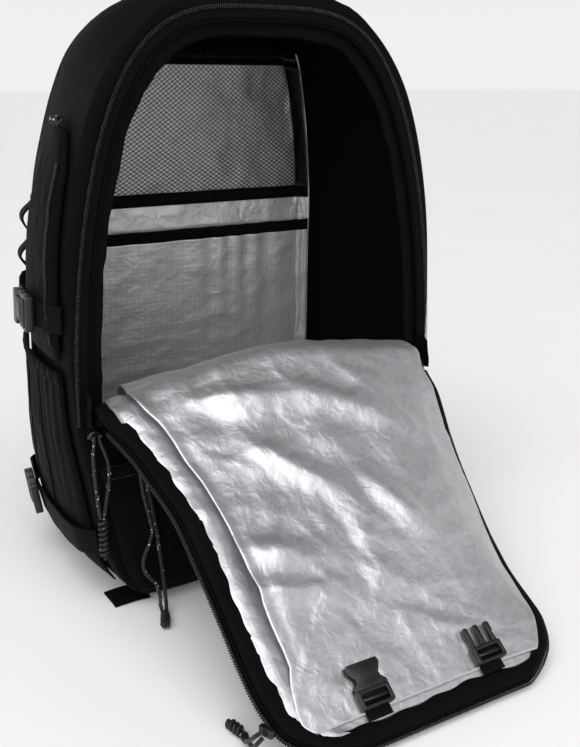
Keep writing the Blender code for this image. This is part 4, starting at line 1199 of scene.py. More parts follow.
def flap_surface(along, across):
    left, right = flap_edges(along)
    y, z = flap_path(along * FLAP_LENGTH)
    hang = max(0.0, (across - 0.35) / 0.65) ** 2
    drop = max(0.0, read_rows(FLAP_ROWS, 3, clamp(along))) * RIGHT_DROP
    crest = (FOLD_RISE + FOLD_RADIUS * math.pi / 2) / FLAP_LENGTH
    rise = clamp(along / crest)
    settle = clamp((along - crest) / (CREST_END - crest))
    arched = CREST_DROP * (rise - settle) * abs(across) ** CREST_POWER
    return Vector((blend(left, right, (across + 1) / 2), y, z - drop * hang - arched))


def flap_normal(along, across):
    step = 0.01
    forward = flap_surface(along + step, across) - flap_surface(along - step, across)
    sideways = flap_surface(along, across + step) - flap_surface(along, across - step)
    return forward.cross(sideways).normalized()


def flap_at(along, across, out=0.0):
    return flap_surface(along, across) + flap_normal(along, across) * out


def flap_inward(along, across, inset):
    left, right = flap_edges(along)
    near = max((right - left) / 2, 0.5 * MOUTH_HALF)
    share = along * (1 - inset / FLAP_LENGTH) if along > 0.8 else along
    return share, across * (1 - inset / near)


def flap_rim(count):
    """Shares along and across on the flap's edge, from its left side round its tip."""
    start = 0.205
    shares = [(start + (1 - start) * k / 60, -1.0) for k in range(61)]
    shares += [(1.0, b) for b in spread(-1.0, 1.0, 40)[1:-1]]
    shares += [(start + (1 - start) * k / 60, 1.0) for k in range(60, -1, -1)]
    line = [flap_at(a, b, -FLAP_THICK / 3) for a, b in shares]
    places, normals = [], []
    length = sum((q - p).length for p, q in zip(line, line[1:]))
    run, k = 0.0, 0
    for j in range(count):
        wanted = length * j / (count - 1)
        while k < len(line) - 2 and run + (line[k + 1] - line[k]).length < wanted:
            run += (line[k + 1] - line[k]).length
            k += 1
        share = clamp((wanted - run) / (line[k + 1] - line[k]).length)
        a = blend(shares[k][0], shares[k + 1][0], share)
        b = blend(shares[k][1], shares[k + 1][1], share)
        places.append((a, b))
        normals.append(flap_normal(a, b))
    return places, [line_point(line, length, j / (count - 1)) for j in range(count)], normals


def line_point(line, length, share):
    wanted, run = share * length, 0.0
    for p, q in zip(line, line[1:]):
        step = (q - p).length
        if run + step >= wanted:
            return p.lerp(q, (wanted - run) / step if step else 0.0)
        run += step
    return line[-1]


# %% [markdown]
# ## Panel, binding and zip of the flap
# The panel is foam between two cloths, so its edge is round. The binding is a bias tape that
# waves on its inner side, and the zip's coil stands on the outermost edge.

# %% Flap panel and trims
RIM_COUNT = 420


def make_flap_panel():
    def top(s, t):
        across = 2 * s - 1
        round_off = 0.0016 * clamp((abs(across) - 0.96) / 0.04) ** 2
        return flap_at(t, across, -round_off - 0.0004 * fold_noise((s, t, 0), 0.15, 6))

    panel = cloth("front_panel", 50, 90, top, FLAP_THICK - 0.0005, (0.30, FLAP_LENGTH), 1.0)
    wear(panel, NYLON, "nylon_cloth", "flap_panel")


def make_flap_trims():
    places, line, normals = flap_rim(RIM_COUNT)
    outward = []
    for k in range(RIM_COUNT):
        ahead = line[min(k + 1, RIM_COUNT - 1)] - line[max(k - 1, 0)]
        outward.append(normals[k].cross(ahead).normalized())
    middle = flap_at(0.6, 0.0, 0.0)
    if outward[0].dot(line[0] - middle) < 0:
        outward = [-way for way in outward]
    centres = [p + w * 0.0026 for p, w in zip(line, outward)]
    teeth = coil("flap_coil", centres, outward, normals, (0.0013, 0.0019), 0.0019, 0.00055)
    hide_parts("flap_zip")

    def tape_place(s, t):
        at = s * (RIM_COUNT - 1)
        k = min(int(at), RIM_COUNT - 2)
        a = line[k].lerp(line[k + 1], at - k)
        way = outward[k].lerp(outward[k + 1], at - k)
        up = normals[k].lerp(normals[k + 1], at - k)
        angle = math.pi * (t - 0.5)
        bulge = way * (math.cos(angle) * 0.0017 - 0.0005)
        return a + bulge + up * (math.sin(angle) * 0.0052 - 0.0012)

    roll = cloth("flap_edge_tape", RIM_COUNT, 8, tape_place, 0.0007, (1.0, 0.012))
    wear(roll, LINING, "lining_cloth")

    def band(s, t):
        at = s * (RIM_COUNT - 1)
        k = min(int(at), RIM_COUNT - 2)
        along = blend(places[k][0], places[k + 1][0], at - k)
        across = blend(places[k][1], places[k + 1][1], at - k)
        wave = 0.0012 * math.sin(s * 88 + 2.5 * math.sin(s * 19)) + 0.0007 * math.sin(s * 203)
        inset = blend(0.0003, 0.0125 + wave, t)
        lift = 0.0012 + 0.0016 * math.sin(math.pi * min(1.0, t * 1.15)) ** 0.8
        lift += 0.0005 * fold_noise((s * 30, t, 0), 1.0, 9)
        return flap_at(*flap_inward(along, across, inset), lift)

    binding = cloth("flap_binding", RIM_COUNT, 8, band, 0.0010, (1.0, 0.012))
    wear(binding, BINDING, "lining_cloth", "flap_facing")


make_flap_panel()
make_flap_trims()

# %% [markdown]
# ## The loose silver lining
# This is what the picture is about. The lining is a loose sheet, sewn only near its edges, and
# it has been crushed many times. Six main folds come first, the same as the solid's. Random
# creases of three sizes are added, each a soft ridge with its own place, turn and length, and
# a crumpling noise breaks up what is left between them.

# %% Silver lining of the flap
LINER_FOLDS = (
    (0.24, -0.40, 78, 0.20, 0.030, 0.75),
    (0.33, 0.30, 62, 0.26, 0.034, 0.85),
    (0.45, -0.25, 40, 0.20, 0.030, 0.80),
    (0.56, 0.25, 28, 0.24, 0.036, 1.00),
    (0.62, -0.55, 70, 0.16, 0.030, 0.90),
    (0.74, 0.05, 50, 0.18, 0.030, 0.80),
)
FOLD_HEIGHT = 0.006
CREASE_SEED = 12


def make_creases():
    """Extra creases: place along and across, turn, half length, half width, height in mm."""
    dice = random.Random(CREASE_SEED)
    found = []
    for count, length, width, height in (
        (16, (0.045, 0.100), (0.0090, 0.0160), (1.6, 3.2)),
        (44, (0.018, 0.046), (0.0034, 0.0064), (0.45, 1.05)),
        (60, (0.007, 0.018), (0.0014, 0.0026), (0.12, 0.28)),
    ):
        for _ in range(count):
            turn = dice.choice((dice.gauss(62, 24), dice.gauss(20, 30)))
            found.append(
                (
                    dice.uniform(0.10, 0.97) * FLAP_LENGTH,
                    dice.uniform(-0.14, 0.13),
                    math.cos(math.radians(turn)),
                    math.sin(math.radians(turn)),
                    dice.uniform(*length),
                    dice.uniform(*width),
                    dice.uniform(*height) * 0.001 * dice.choice((1, 1, -0.7)),
                )
            )
    return found


CREASES = make_creases()


def crease_height(u, v):
    total = 0.0
    for place, side, cosine, sine, length, width, height in CREASES:
        du, dv = u - place, v - side
        run = (du * cosine + dv * sine) / length
        if abs(run) > 2:
            continue
        aside = (dv * cosine - du * sine) / width
        if abs(aside) > 4:
            continue
        total += height * math.exp(-run * run) / (1 + aside * aside)
    return total


def liner_lift(along, across):
    crest = (FOLD_RISE + FOLD_RADIUS * math.pi / 2) / FLAP_LENGTH
    settle = clamp((along - crest) / (0.82 - crest))
    lift = blend(0.0075, 0.0035, min(1.0, settle * 3))
    lift = blend(lift, 0.0008, max(0.0, (settle - 0.7) / 0.3))
    left, right = flap_edges(along)
    half = (right - left) / 2
    folds = 0.0
    for place, side, turn, length, width, height in LINER_FOLDS:
        u, v = (along - place) * FLAP_LENGTH, (across - side) * half
        cosine, sine = math.cos(math.radians(turn)), math.sin(math.radians(turn))
        run = (u * cosine + v * sine) / (length * FLAP_LENGTH / 2)
        aside = (v * cosine - u * sine) / (width * FLAP_LENGTH)
        folds += height * math.exp(-run * run - aside * aside)
    lift += folds * FOLD_HEIGHT * (1 - max(0.0, (settle - 0.75) / 0.25))
    u, v = along * FLAP_LENGTH, across * half
    broken = crease_height(u, v)
    broken += 0.0016 * max(0.0, crumple((u, v, 0.0), 0.050, 7)) - 0.0004
    broken += 0.00025 * crumple((u, v, 0.0), 0.014, 13)
    return max(lift + broken * (0.55 + 0.45 * hump((across + 1) / 2, 4)), 0.0006)


def liner_place(s, t):
    start = -0.070 / FLAP_LENGTH
    along = blend(start, 1 - 0.0175 / FLAP_LENGTH, t)
    left, right = flap_edges(along)
    half = (right - left) / 2
    open_share = clamp((along - FOLD_RISE / FLAP_LENGTH) / 0.10)
    swing = 0.0034 * fold_noise((t * 9, 0, 0), 1.0, 3)
    near_left = clamp((0.93 - along) / 0.1)
    left_inset = blend(0.026, blend(0.0125, 0.0270 + swing, near_left), open_share)
    right_inset = blend(0.026, 0.0110, open_share)
    low, high = -1 + left_inset / half, 1 - right_inset / half
    across = blend(low, high, s)
    rolled = 0.0013 * math.exp(-((s / 0.022) ** 2)) * near_left * open_share
    return flap_at(along, across, liner_lift(along, across) + 0.0012 + rolled)


def base_film_place(s, t):
    along = blend(0.045, 1 - 0.011 / FLAP_LENGTH, t)
    left, right = flap_edges(along)
    half = (right - left) / 2
    across = blend(-1 + 0.0095 / half, 1 - 0.0095 / half, s)
    near_edge = math.exp(-(((1 + across) * half - 0.019) / 0.007) ** 2)
    puff = 0.0022 * near_edge * (0.6 + 0.6 * fold_noise((t * 20, 0, 0), 1.0, 17))
    creases = 0.0006 * crumple((across * half, along * 0.36, 0.0), 0.012, 23) * near_edge
    return flap_at(along, across, 0.0006 + max(puff + creases, 0.0))


def make_base_film():
    film = cloth("silver_panel_face", 70, 150, base_film_place, 0.0005, (0.27, 0.33))
    wear(film, FILM, "silver_film")


def make_liner():
    width, length = 0.262, 0.417
    liner = cloth("loose_silver_lining", 150, 225, liner_place, 0.0007, (width, length))
    wear(liner, FILM, "silver_film", "flap_liner")
    # The cut narrows towards the tip, so its area is less than its width times its length.
    print("lining", len(liner.data.polygons), "faces")


make_base_film()
make_liner()

# %% [markdown]
# ## Side pockets and webbing
# The tall pocket is a panel of cloth that stands off the bag and is sewn down along its edges,
# so it is a grid whose distance falls to nothing at its border. Piping covers the seam. The
# pocket under it is open on top, so it keeps its distance there and is gathered by its hem.

# %% Side pockets
GAP = 0.0004
SIDE_START, SIDE_END = 5, 11
SIDE_THICK, SIDE_BOTTOM, SIDE_TOP = 0.0065, 0.210, 0.384
LOWER_BOTTOM, LOWER_TOP, LOWER_STAND_OFF = 0.022, 0.200, 0.009
WEB_THICK = 0.0014
STRAP_WIDE = 0.022


def side_pocket_point(side, s, t, extra=0.0):
    index = blend(SIDE_START + 0.4, SIDE_START + 3.4, s)
    z = blend(SIDE_BOTTOM, SIDE_TOP, t)
    z -= 0.030 * abs(2 * s - 1) ** 3 * max(0.0, 3 * t - 2) ** 2
    full = SIDE_THICK * hump(s, 6) * min(1.0, 0.3 + 3 * t) * (1 - 0.45 * t**6)
    edge = clamp(min(s, 1 - s) / 0.05) * clamp((1 - t) / 0.04)
    spot = (s * 0.09, t * 0.17, side)
    rumple = 0.0011 * crumple(spot, 0.05, 41) + 0.0005 * crumple(spot, 0.02, 43)
    return skin(index, z, 0.0012 + (0.0009 + full - rumple) * edge**0.5 + extra, side)


def make_side_pocket(side, name):
    def place(s, t):
        return side_pocket_point(side, s, t)

    panel = cloth("side_pocket_panel_" + name, 48, 80, place, 0.0014, (0.095, 0.175))
    wear(panel, NYLON, "nylon_cloth", "side_pocket_" + name)
    border = [(0.0, t) for t in spread(0.03, 1.0, 40)] + [(s, 1.0) for s in spread(0.0, 1.0, 30)]
    border += [(1.0, t) for t in reversed(spread(0.03, 1.0, 40))]
    line = [side_pocket_point(side, s, t, 0.0010) for s, t in border]
    line = even_points(line, 160)[0]
    wear(tube("side_pocket_piping_" + name, line, 0.0013, 2), LINING, "nylon_cloth")
    zip_line = [side_pocket_point(side, 0.10, t, 0.0014) for t in spread(0.06, 0.90, 90)]
    outward = Vector((side, 0.0, 0.0))
    teeth_way = across_line(zip_line, outward)
    coil(
        "side_pocket_coil_" + name,
        zip_line,
        teeth_way,
        [outward] * len(zip_line),
        (0.0017, 0.0008),
        0.0018,
        0.00048,
    )


def lower_point(side, s, t, extra=0.0):
    index = blend(SIDE_START + 0.4, SIDE_END + 0.6, s)
    z = blend(LOWER_BOTTOM, LOWER_TOP, t)
    belly = min(1.0, 5 * t) ** 0.8 * (1 - 0.5 * t)
    spot = (s * 0.18, t * 0.18, side)
    folds = 0.0012 * crumple(spot, 0.045, 51) + 0.0006 * math.sin(s * 70 + t * 4) * t
    slack = LOWER_STAND_OFF * hump(s, 3) * belly - folds * hump(s, 6)
    return skin(index, z, GAP + max(slack, 0.0) + 0.0008 + extra, side)


def make_lower_pocket(side, name):
    pouch = cloth(
        "lower_pocket_cloth_" + name,
        90,
        70,
        lambda s, t: lower_point(side, s, t),
        0.0013,
        (0.19, 0.18),
    )
    wear(pouch, NYLON, "nylon_cloth", "lower_pocket_" + name)
    hem = cloth(
        "lower_pocket_hem_" + name,
        110,
        6,
        lambda s, t: lower_point(side, s, 0.945 + 0.055 * t, 0.0008 + 0.0009 * hump(t)),
        0.0012,
        (0.19, 0.010),
    )
    wear(hem, BINDING, "nylon_cloth")
    for row, at in enumerate((0.32, 0.62)):
        seam = [lower_point(side, at, t, 0.0010) for t in spread(0.02, 0.94, 60)]
        wear(tube("lower_seam_{}_{}".format(row, name), seam, 0.0007, 1), LINING, "nylon_cloth")


# %% [markdown]
# ## Webbing
# Webbing is 20 mm wide and 1.4 mm thick, with a rib every 1.8 mm along it. The chain beside
# the pocket is tacked down at its ends and middle with orange bar tacks: a bar tack is a dense
# zigzag of thread, so that is what it is here.


# %% Daisy chain, straps and tacks
TACKS = (0.02, 0.31, 0.62)


def daisy_loop(t):
    for low, high in zip(TACKS, TACKS[1:]):
        if low < t < high:
            return math.sin(math.pi * (t - low) / (high - low)) ** 2
    return 0.0


def daisy_point(side, s, t, extra=0.0):
    index, z = blend(SIDE_START + 3.75, SIDE_START + 4.65, s), blend(0.262, 0.366, t)
    loop = 0.009 * daisy_loop(t) * (1 - 0.06 * (2 * s - 1) ** 2)
    return skin(index, z, GAP + WEB_THICK / 2 + loop + extra, side)


def make_daisy(side, name):
    chain = cloth(
        "daisy_webbing_" + name,
        10,
        90,
        lambda s, t: daisy_point(side, s, t),
        WEB_THICK,
        (0.02, 0.12),
    )
    wear(chain, WEBBING, "webbing", "daisy_chain_" + name)
    for row, at in enumerate(TACKS):
        stitches = []
        for k in range(41):
            up = at + (0.016 if k % 2 else -0.016)
            stitches.append(daisy_point(side, blend(-0.03, 1.0, k / 40), up, 0.0014))
        tack = tube("bar_tack_{}_{}".format(row, name), stitches, 0.0006, 1)
        wear(tack, TACK_THREAD, "webbing")


def strap_out(depth, first, last, ends):
    def out(index):
        rise = clamp((index - first) / 0.9)
        fall = clamp((last - index) / (last - ends))
        return 2 * GAP + (depth + 0.0016) * math.sin(min(rise, fall) * math.pi / 2)

    return out


def make_strap(side, name, which, height, first, ends, depth, buckle_at):
    last = SIDE_END + 2.0
    ends = max(ends, buckle_at + 1.0)
    out = strap_out(depth, first, last, ends)

    def place(s, t):
        index = blend(first, last, s)
        z = height + STRAP_WIDE * (t - 0.5)
        return skin(index, z, out(index) + WEB_THICK / 2 + 0.0002 * math.sin(s * 40), side)

    strap = cloth("compression_{}_{}".format(which, name), 100, 10, place, WEB_THICK, (0.22, 0.022))
    wear(strap, WEBBING, "webbing", "strap_{}_{}".format(which, name))
    lift = 3 * GAP + depth + 0.0016 + WEB_THICK
    both = "{}_{}".format(which, name)
    side_buckle("release_buckle_" + both, skin_frame(buckle_at, height, lift, side))
    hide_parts("buckle_" + both)


def skin_frame(index, height, out, side):
    """A placing matrix on the cloth: X runs towards the back, Y up, Z outwards."""
    here = skin(index, height, out, side)
    x_axis = (skin(index + 0.5, height, out, side) - here).normalized()
    y_axis = (skin(index, height + 0.01, out, side) - here).normalized()
    z_axis = x_axis.cross(y_axis).normalized() * side
    y_axis = z_axis.cross(x_axis).normalized()
    return matrix_of(x_axis, y_axis, z_axis, here)


def matrix_of(x_axis, y_axis, z_axis, here):
    matrix = Matrix.Identity(4)
    for column, axis in enumerate((x_axis, y_axis, z_axis)):
        matrix.col[column][:3] = axis
    matrix.col[3][:3] = here
    return matrix


# %% [markdown]
# ## Side release buckles
# A buckle is two mouldings: a socket with windows at its sides, and a ladder with prongs. Each
# is a few plates, drawn flat, given a thickness, and bevelled because a moulding has no sharp
# edge. Frames are two outlines bridged, so the webbing can be seen passing through.


# %% Buckle plates
def add_plate(bm, outline, low, high, place, bevel=0.0007, hole=None):
    part = bmesh.new()
    rims = []
    for shape in (outline, hole):
        if shape:
            verts = [part.verts.new((x, y, low)) for x, y in shape]
            rims.append([part.edges.new(pair) for pair in zip(verts, verts[1:] + verts[:1])])
    if hole:
        flat = bmesh.ops.bridge_loops(part, edges=rims[0] + rims[1])["faces"]
    else:
        flat = bmesh.ops.contextual_create(part, geom=rims[0])["faces"]
    moved = bmesh.ops.extrude_face_region(part, geom=flat)
    verts = [item for item in moved["geom"] if isinstance(item, bmesh.types.BMVert)]
    bmesh.ops.translate(part, verts=verts, vec=(0.0, 0.0, high - low))
    bmesh.ops.recalc_face_normals(part, faces=part.faces)
    part.normal_update()
    sharp = [e for e in part.edges if len(e.link_faces) == 2 and e.calc_face_angle() > 0.6]
    bmesh.ops.bevel(
        part, geom=sharp, offset=bevel, segments=2, profile=0.5, affect="EDGES", material=-1
    )
    bmesh.ops.transform(part, matrix=place, verts=part.verts)
    if place.determinant() < 0:
        bmesh.ops.reverse_faces(part, faces=part.faces)
    spare = bpy.data.meshes.new("spare")
    part.to_mesh(spare)
    part.free()
    bm.from_mesh(spare)
    bpy.data.meshes.remove(spare)


def box_outline(x0, x1, y0, y1, cut=0.0):
    return [
        (x0 + cut, y0),
        (x1 - cut, y0),
        (x1, y0 + cut),
        (x1, y1 - cut),
        (x1 - cut, y1),
        (x0 + cut, y1),
        (x0, y1 - cut),
        (x0, y0 + cut),
    ]


def side_buckle(name, place):
    """Fastened: the socket towards the back, the ladder frame towards the front."""
    bm = bmesh.new()
    half, wide = 0.0225, 0.0145
    for sign in (-1, 1):
        window = [
            (-0.004, sign * 0.0095),
            (0.006, sign * 0.0095),
            (0.007, sign * wide * 0.98),
            (0.003, sign * wide),
            (-0.003, sign * wide * 0.97),
        ]
        add_plate(bm, window, 0.0014, 0.0064, place, 0.0005)
    socket = [
        (-0.006, -0.0095),
        (0.010, -0.0095),
        (0.012, -wide),
        (half - 0.001, -wide),
        (half, -wide + 0.002),
        (half, wide - 0.002),
        (half - 0.001, wide),
        (0.012, wide),
        (0.010, 0.0095),
        (-0.006, 0.0095),
    ]
    add_plate(bm, socket, 0.0004, 0.0079, place, 0.0011)
    add_plate(bm, box_outline(-0.0035, 0.008, -0.006, 0.006, 0.001), 0.0076, 0.0083, place, 0.0003)
    outer = box_outline(-half, -0.0055, -wide, wide, 0.0015)
    inner = box_outline(-half + 0.0032, -0.0095, -wide + 0.003, wide - 0.003, 0.0008)
    add_plate(bm, outer, 0.0006, 0.0072, place, 0.0009, inner)
    bar = box_outline(-0.0165, -0.0135, -wide + 0.002, wide - 0.002, 0.0003)
    add_plate(bm, bar, 0.0018, 0.0048, place)
    buckle = link_mesh(name, bm, False)
    buckle.data.shade_smooth()
    buckle.data.set_sharp_from_angle(angle=math.radians(35))
    wear(buckle, ACETAL, "acetal")


for side, name in ((-1, "left"), (1, "right")):
    make_side_pocket(side, name)
    make_lower_pocket(side, name)
    make_daisy(side, name)
    first = SIDE_START + 0.15
    upper = (0.243, first, SIDE_START + 3.4, SIDE_THICK, SIDE_START + 2.2)
    lower = (0.062, first, SIDE_END + 0.6, LOWER_STAND_OFF, SIDE_START + 4.6)
    make_strap(side, name, "upper", *upper)
    make_strap(side, name, "lower", *lower)

# %% [markdown]
# ## The loose buckle on the flap
# Its two halves lie at the tip, sewn on with short tabs: the socket on the left, the prongs on
# the right.

# %% Loose buckle halves
FEMALE_X, MALE_X = -0.069, 0.030
TIP_INSET, TAB_LENGTH = 0.0125, 0.006


def flap_frame(x, run, out):
    along = run / FLAP_LENGTH
    left, right = flap_edges(along)
    across = 2 * (x - left) / (right - left) - 1
    y_axis = Vector((0.0, math.cos(SLOPE), math.sin(SLOPE)))
    z_axis = Vector((1.0, 0.0, 0.0)).cross(y_axis).normalized()
    return matrix_of(y_axis.cross(z_axis).normalized(), y_axis, z_axis, flap_at(along, across, out))


def make_loose_buckle():
    lift = 0.0008 + 0.0012 + GAP
    lower = FLAP_LENGTH - TIP_INSET - TAB_LENGTH - 0.0003
    place = flap_frame(FEMALE_X, lower, lift)
    bm = bmesh.new()
    w = 0.013
    outer = box_outline(-w, w, 0.0, 0.0135, 0.0012)
    inner = box_outline(-w + 0.003, w - 0.003, 0.0026, 0.0100, 0.0006)
    add_plate(bm, outer, 0.0006, 0.0074, place, 0.0009, inner)
    add_plate(bm, box_outline(-w + 0.001, w - 0.001, 0.0052, 0.0078, 0.0003), 0.0026, 0.0058, place)
    body = [
        (-w, 0.0125),
        (w, 0.0125),
        (w * 0.96, 0.0150),
        (w * 0.72, 0.0180),
        (w * 0.70, 0.0205),
        (w * 0.86, 0.0235),
        (w, 0.0270),
        (w * 0.93, 0.0306),
    ]
    body += [(-x, y) for x, y in reversed(body[2:])]
    add_plate(bm, body, 0.0003, 0.0027, place, 0.0008)
    add_plate(bm, body, 0.0054, 0.0080, place, 0.0008)
    add_plate(bm, box_outline(-0.0016, 0.0016, 0.0130, 0.0300, 0.0004), 0.0022, 0.0060, place)
    for sign in (-1, 1):
        rail = box_outline(sign * 0.0105 - 0.0011, sign * 0.0105 + 0.0011, 0.0250, 0.0300, 0.0004)
        add_plate(bm, rail, 0.0022, 0.0060, place, 0.0004)
    socket = link_mesh("loose_socket", bm, False)
    place = flap_frame(MALE_X, lower, lift)
    bm = bmesh.new()
    frame_outline = box_outline(-w, w, 0.0, 0.0130, 0.0012)
    window = box_outline(-w + 0.003, w - 0.003, 0.0026, 0.0098, 0.0006)
    add_plate(bm, frame_outline, 0.0006, 0.0074, place, 0.0009, window)
    add_plate(bm, box_outline(-w + 0.001, w - 0.001, 0.0050, 0.0076, 0.0003), 0.0026, 0.0058, place)
    for sign in (-1, 1):
        prong = [
            (sign * 0.0075, 0.0120),
            (sign * 0.0118, 0.0120),
            (sign * 0.0108, 0.0190),
            (sign * 0.0122, 0.0205),
            (sign * 0.0118, 0.0262),
            (sign * 0.0096, 0.0278),
            (sign * 0.0078, 0.0262),
        ]
        add_plate(bm, prong, 0.0016, 0.0064, place, 0.0006)
    right = [(0.0026, 0.012), (0.0021, 0.0262), (0.0012, 0.0276)]
    guide = [(-0.0026, 0.012), *right, (-0.0012, 0.0276), (-0.0021, 0.0262)]
    add_plate(bm, guide, 0.0022, 0.0058, place, 0.0005)
    prongs = link_mesh("loose_prongs", bm, False)
    for piece, node in ((socket, "buckle_female"), (prongs, "buckle_male")):
        piece.data.shade_smooth()
        piece.data.set_sharp_from_angle(angle=math.radians(35))
        wear(piece, ACETAL, "acetal", node)
    for x, node in ((FEMALE_X, "female_tab"), (MALE_X, "male_tab")):
        # The tab runs up through the frame and round its bar.
        frame_at = flap_frame(x, FLAP_LENGTH - TIP_INSET, lift)

        def place_tab(s, t):
            rise = 0.0040 * clamp((t - 0.45) / 0.3) + 0.0008
            return frame_at @ Vector(((s - 0.5) * 0.0192, t * 0.0155, rise))

        tab = cloth("webbing_" + node, 10, 24, place_tab, 0.0013, (0.0192, 0.0155))
        wear(tab, WEBBING, "webbing", node)


make_loose_buckle()

# %% [markdown]
# ## Padded pieces by cloth simulation
# Foam in a cloth cover swells a little and pulls in at its seams. The cover of a shoulder
# strap is a copy of the plain solid, remeshed to even squares, smoothed, blown up a few steps by
# Blender's Cloth with no gravity, and held to a few millimetres to stay clear of its neighbours.


# %% Inflate helper
def copy_of(node):
    bm = bmesh.new()
    bm.from_mesh(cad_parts[node].data)
    bmesh.ops.remove_doubles(bm, verts=bm.verts, dist=0.00002)
    return bm


def evaluated_mesh(obj):
    graph = bpy.context.evaluated_depsgraph_get()
    return bpy.data.meshes.new_from_object(obj.evaluated_get(graph))


CLOTH_FRAMES = 20
CLOTH_PRESSURE = 4.0


def padded(name, node, voxel, cap, finish, slot):
    cover = link_mesh(name, copy_of(node))
    remesh = cover.modifiers.new("even", "REMESH")
    remesh.mode = "VOXEL"
    remesh.voxel_size = voxel
    even = evaluated_mesh(cover)
    cover.modifiers.clear()
    cover.data = even
    smooth = bmesh.new()
    smooth.from_mesh(even)
    for _ in range(5):
        bmesh.ops.smooth_vert(
            smooth,
            verts=smooth.verts,
            factor=0.5,
            use_axis_x=True,
            use_axis_y=True,
            use_axis_z=True,
        )
    smooth.to_mesh(even)
    smooth.free()
    rest = [vert.co.copy() for vert in even.vertices]
    blow = cover.modifiers.new("blow", "CLOTH")
    blow.settings.use_pressure = True
    blow.settings.uniform_pressure_force = CLOTH_PRESSURE
    blow.settings.effector_weights.gravity = 0.0
    for step in range(1, CLOTH_FRAMES + 1):
        bpy.context.scene.frame_set(step)
    blown = [vert.co.copy() for vert in evaluated_mesh(cover).vertices]
    cover.modifiers.clear()
    for vert, start, end in zip(even.vertices, rest, blown):
        move = end - start
        vert.co = start + move * min(1.0, cap / max(move.length, 1e-9))
    bpy.context.scene.frame_set(1)
    even.shade_smooth()
    soft = cover.modifiers.new("soft", "SUBSURF")
    soft.levels = soft.render_levels = 1
    wear(cover, finish, slot, node)
    print(name, len(even.vertices), "points")
    return cover


def back_pad_point(s, t):
    index, z = blend(15.3, 22.7, s), blend(0.060, 0.400, t)
    return skin(index, z, GAP + 0.0020 + 0.0070 * hump(s, 6) * hump(t, 8))


# The pad thins out to nothing at its rim, which a 5 mm voxel can't hold, so it isn't simulated.
back_pad = cloth("back_panel_pad", 60, 80, back_pad_point, 0.0016, (0.30, 0.34))
wear(back_pad, NYLON, "nylon_cloth", "back_pad")
padded("shoulder_pad_left", "shoulder_strap_left", 0.004, 0.003, NYLON, "nylon_cloth")
padded("shoulder_pad_right", "shoulder_strap_right", 0.004, 0.003, NYLON, "nylon_cloth")

# %% [markdown]
# ## Lower front
# The front pocket lies flat on the lower body under a bound edge with two rows of stitches. A
# gusset at each end of the hinge folds when the front is closed, so it keeps its creases.

# %% Front pocket, gussets and loop
POCKET_BOTTOM, POCKET_TOP = 0.014, 0.126
RING_RADIUS = 0.0043


def front_point(s, t, extra=0.0):
    index = blend(-1.95, 1.95, s)
    z = blend(POCKET_BOTTOM, POCKET_TOP, t)
    full = 0.005 * hump(s, 8) * (0.55 + 0.45 * hump(t, 4))
    edge = clamp(min(s, 1 - s) / 0.03) * clamp(min(t, 1 - t) / 0.03)
    rumple = 0.0020 * crumple((s * 0.3, t * 0.11, 0.0), 0.040, 61)
    rumple += 0.0008 * crumple((s * 0.3, t * 0.11, 0.0), 0.016, 67)
    return skin(index, z, 0.0008 + max(full - max(rumple, 0.0), 0.0006) * edge**0.4 + extra)


def make_front_pocket():
    panel = cloth("front_pocket_cloth", 150, 60, front_point, 0.0012, (0.30, 0.112))
    wear(panel, NYLON, "nylon_cloth", "front_pocket")
    hem = cloth(
        "front_pocket_binding",
        150,
        6,
        lambda s, t: front_point(s, 0.90 + 0.10 * t, 0.0006 + 0.0008 * hump(t)),
        0.0010,
        (0.30, 0.011),
    )
    wear(hem, BINDING, "nylon_cloth")
    for row, at in enumerate((0.905, 0.985)):
        stitches = []
        for k in range(241):
            stitches.append(front_point(0.01 + 0.98 * k / 240, at, 0.0013 + 0.0003 * (k % 2)))
        wear(tube("pocket_stitch_{}".format(row), stitches, 0.00035, 1), THREAD, "nylon_cloth")


def make_gusset(side, name):
    base_x = side * (MOUTH_HALF - 0.0078)

    def place(s, t):
        y = FLAP_START - 0.0135 * s * (1 - 0.12 * t)
        z = MOUTH_FOOT + 0.030 * t * (1 - 0.14 * s)
        fold = 0.0013 * math.sin(s * 7 + t * 5) + 0.0006 * fold_noise((s, t, side), 0.3, 3)
        return Vector((base_x + side * fold * 0.6, y, z))

    web = cloth("hinge_web_" + name, 24, 40, place, 0.0012, (0.014, 0.030))
    wear(web, NYLON, "nylon_cloth", "hinge_gusset_" + name)


def make_anchor():
    low, x = 0.1505, -0.1612
    y = skin(2.6, low, 0.0).y - 0.0012

    def place(s, t):
        z = blend(low, MOUTH_FOOT - 0.0005, t)
        return Vector((x + (s - 0.5) * 0.010, skin(2.6, z, 0.0).y - 0.0012 - 0.0005 * hump(s), z))

    web = cloth("pull_webbing", 8, 10, place, 0.0012, (0.010, 0.010))
    wear(web, WEBBING, "webbing", "pull_anchor")
    ring = []
    for k in range(25):
        angle = math.pi * k / 24
        turn = Vector((math.cos(angle), 0.0, math.sin(angle))) * RING_RADIUS
        ring.append(Vector((x, y - 0.0036, low - 0.0009)) + turn)
    wear(tube("pull_ring", ring, 0.0021, 3), ACETAL, "acetal", "pull_loop")


def make_base_tab():
    edge = -0.670 * HALF_WIDTH - 0.0065

    def place(s, t):
        fold = 0.0009 * math.sin(math.pi * s) + 0.0003 * fold_noise((s, t, 0), 0.4, 2)
        return Vector((edge - 0.031 * s, -0.094 - 0.027 * t, 0.0010 + fold))

    tab = cloth("base_webbing_tab", 24, 20, place, 0.0014, (0.031, 0.027))
    wear(tab, WEBBING, "webbing", "base_tab")


make_front_pocket()
make_gusset(-1, "left")
make_gusset(1, "right")
make_anchor()
make_base_tab()

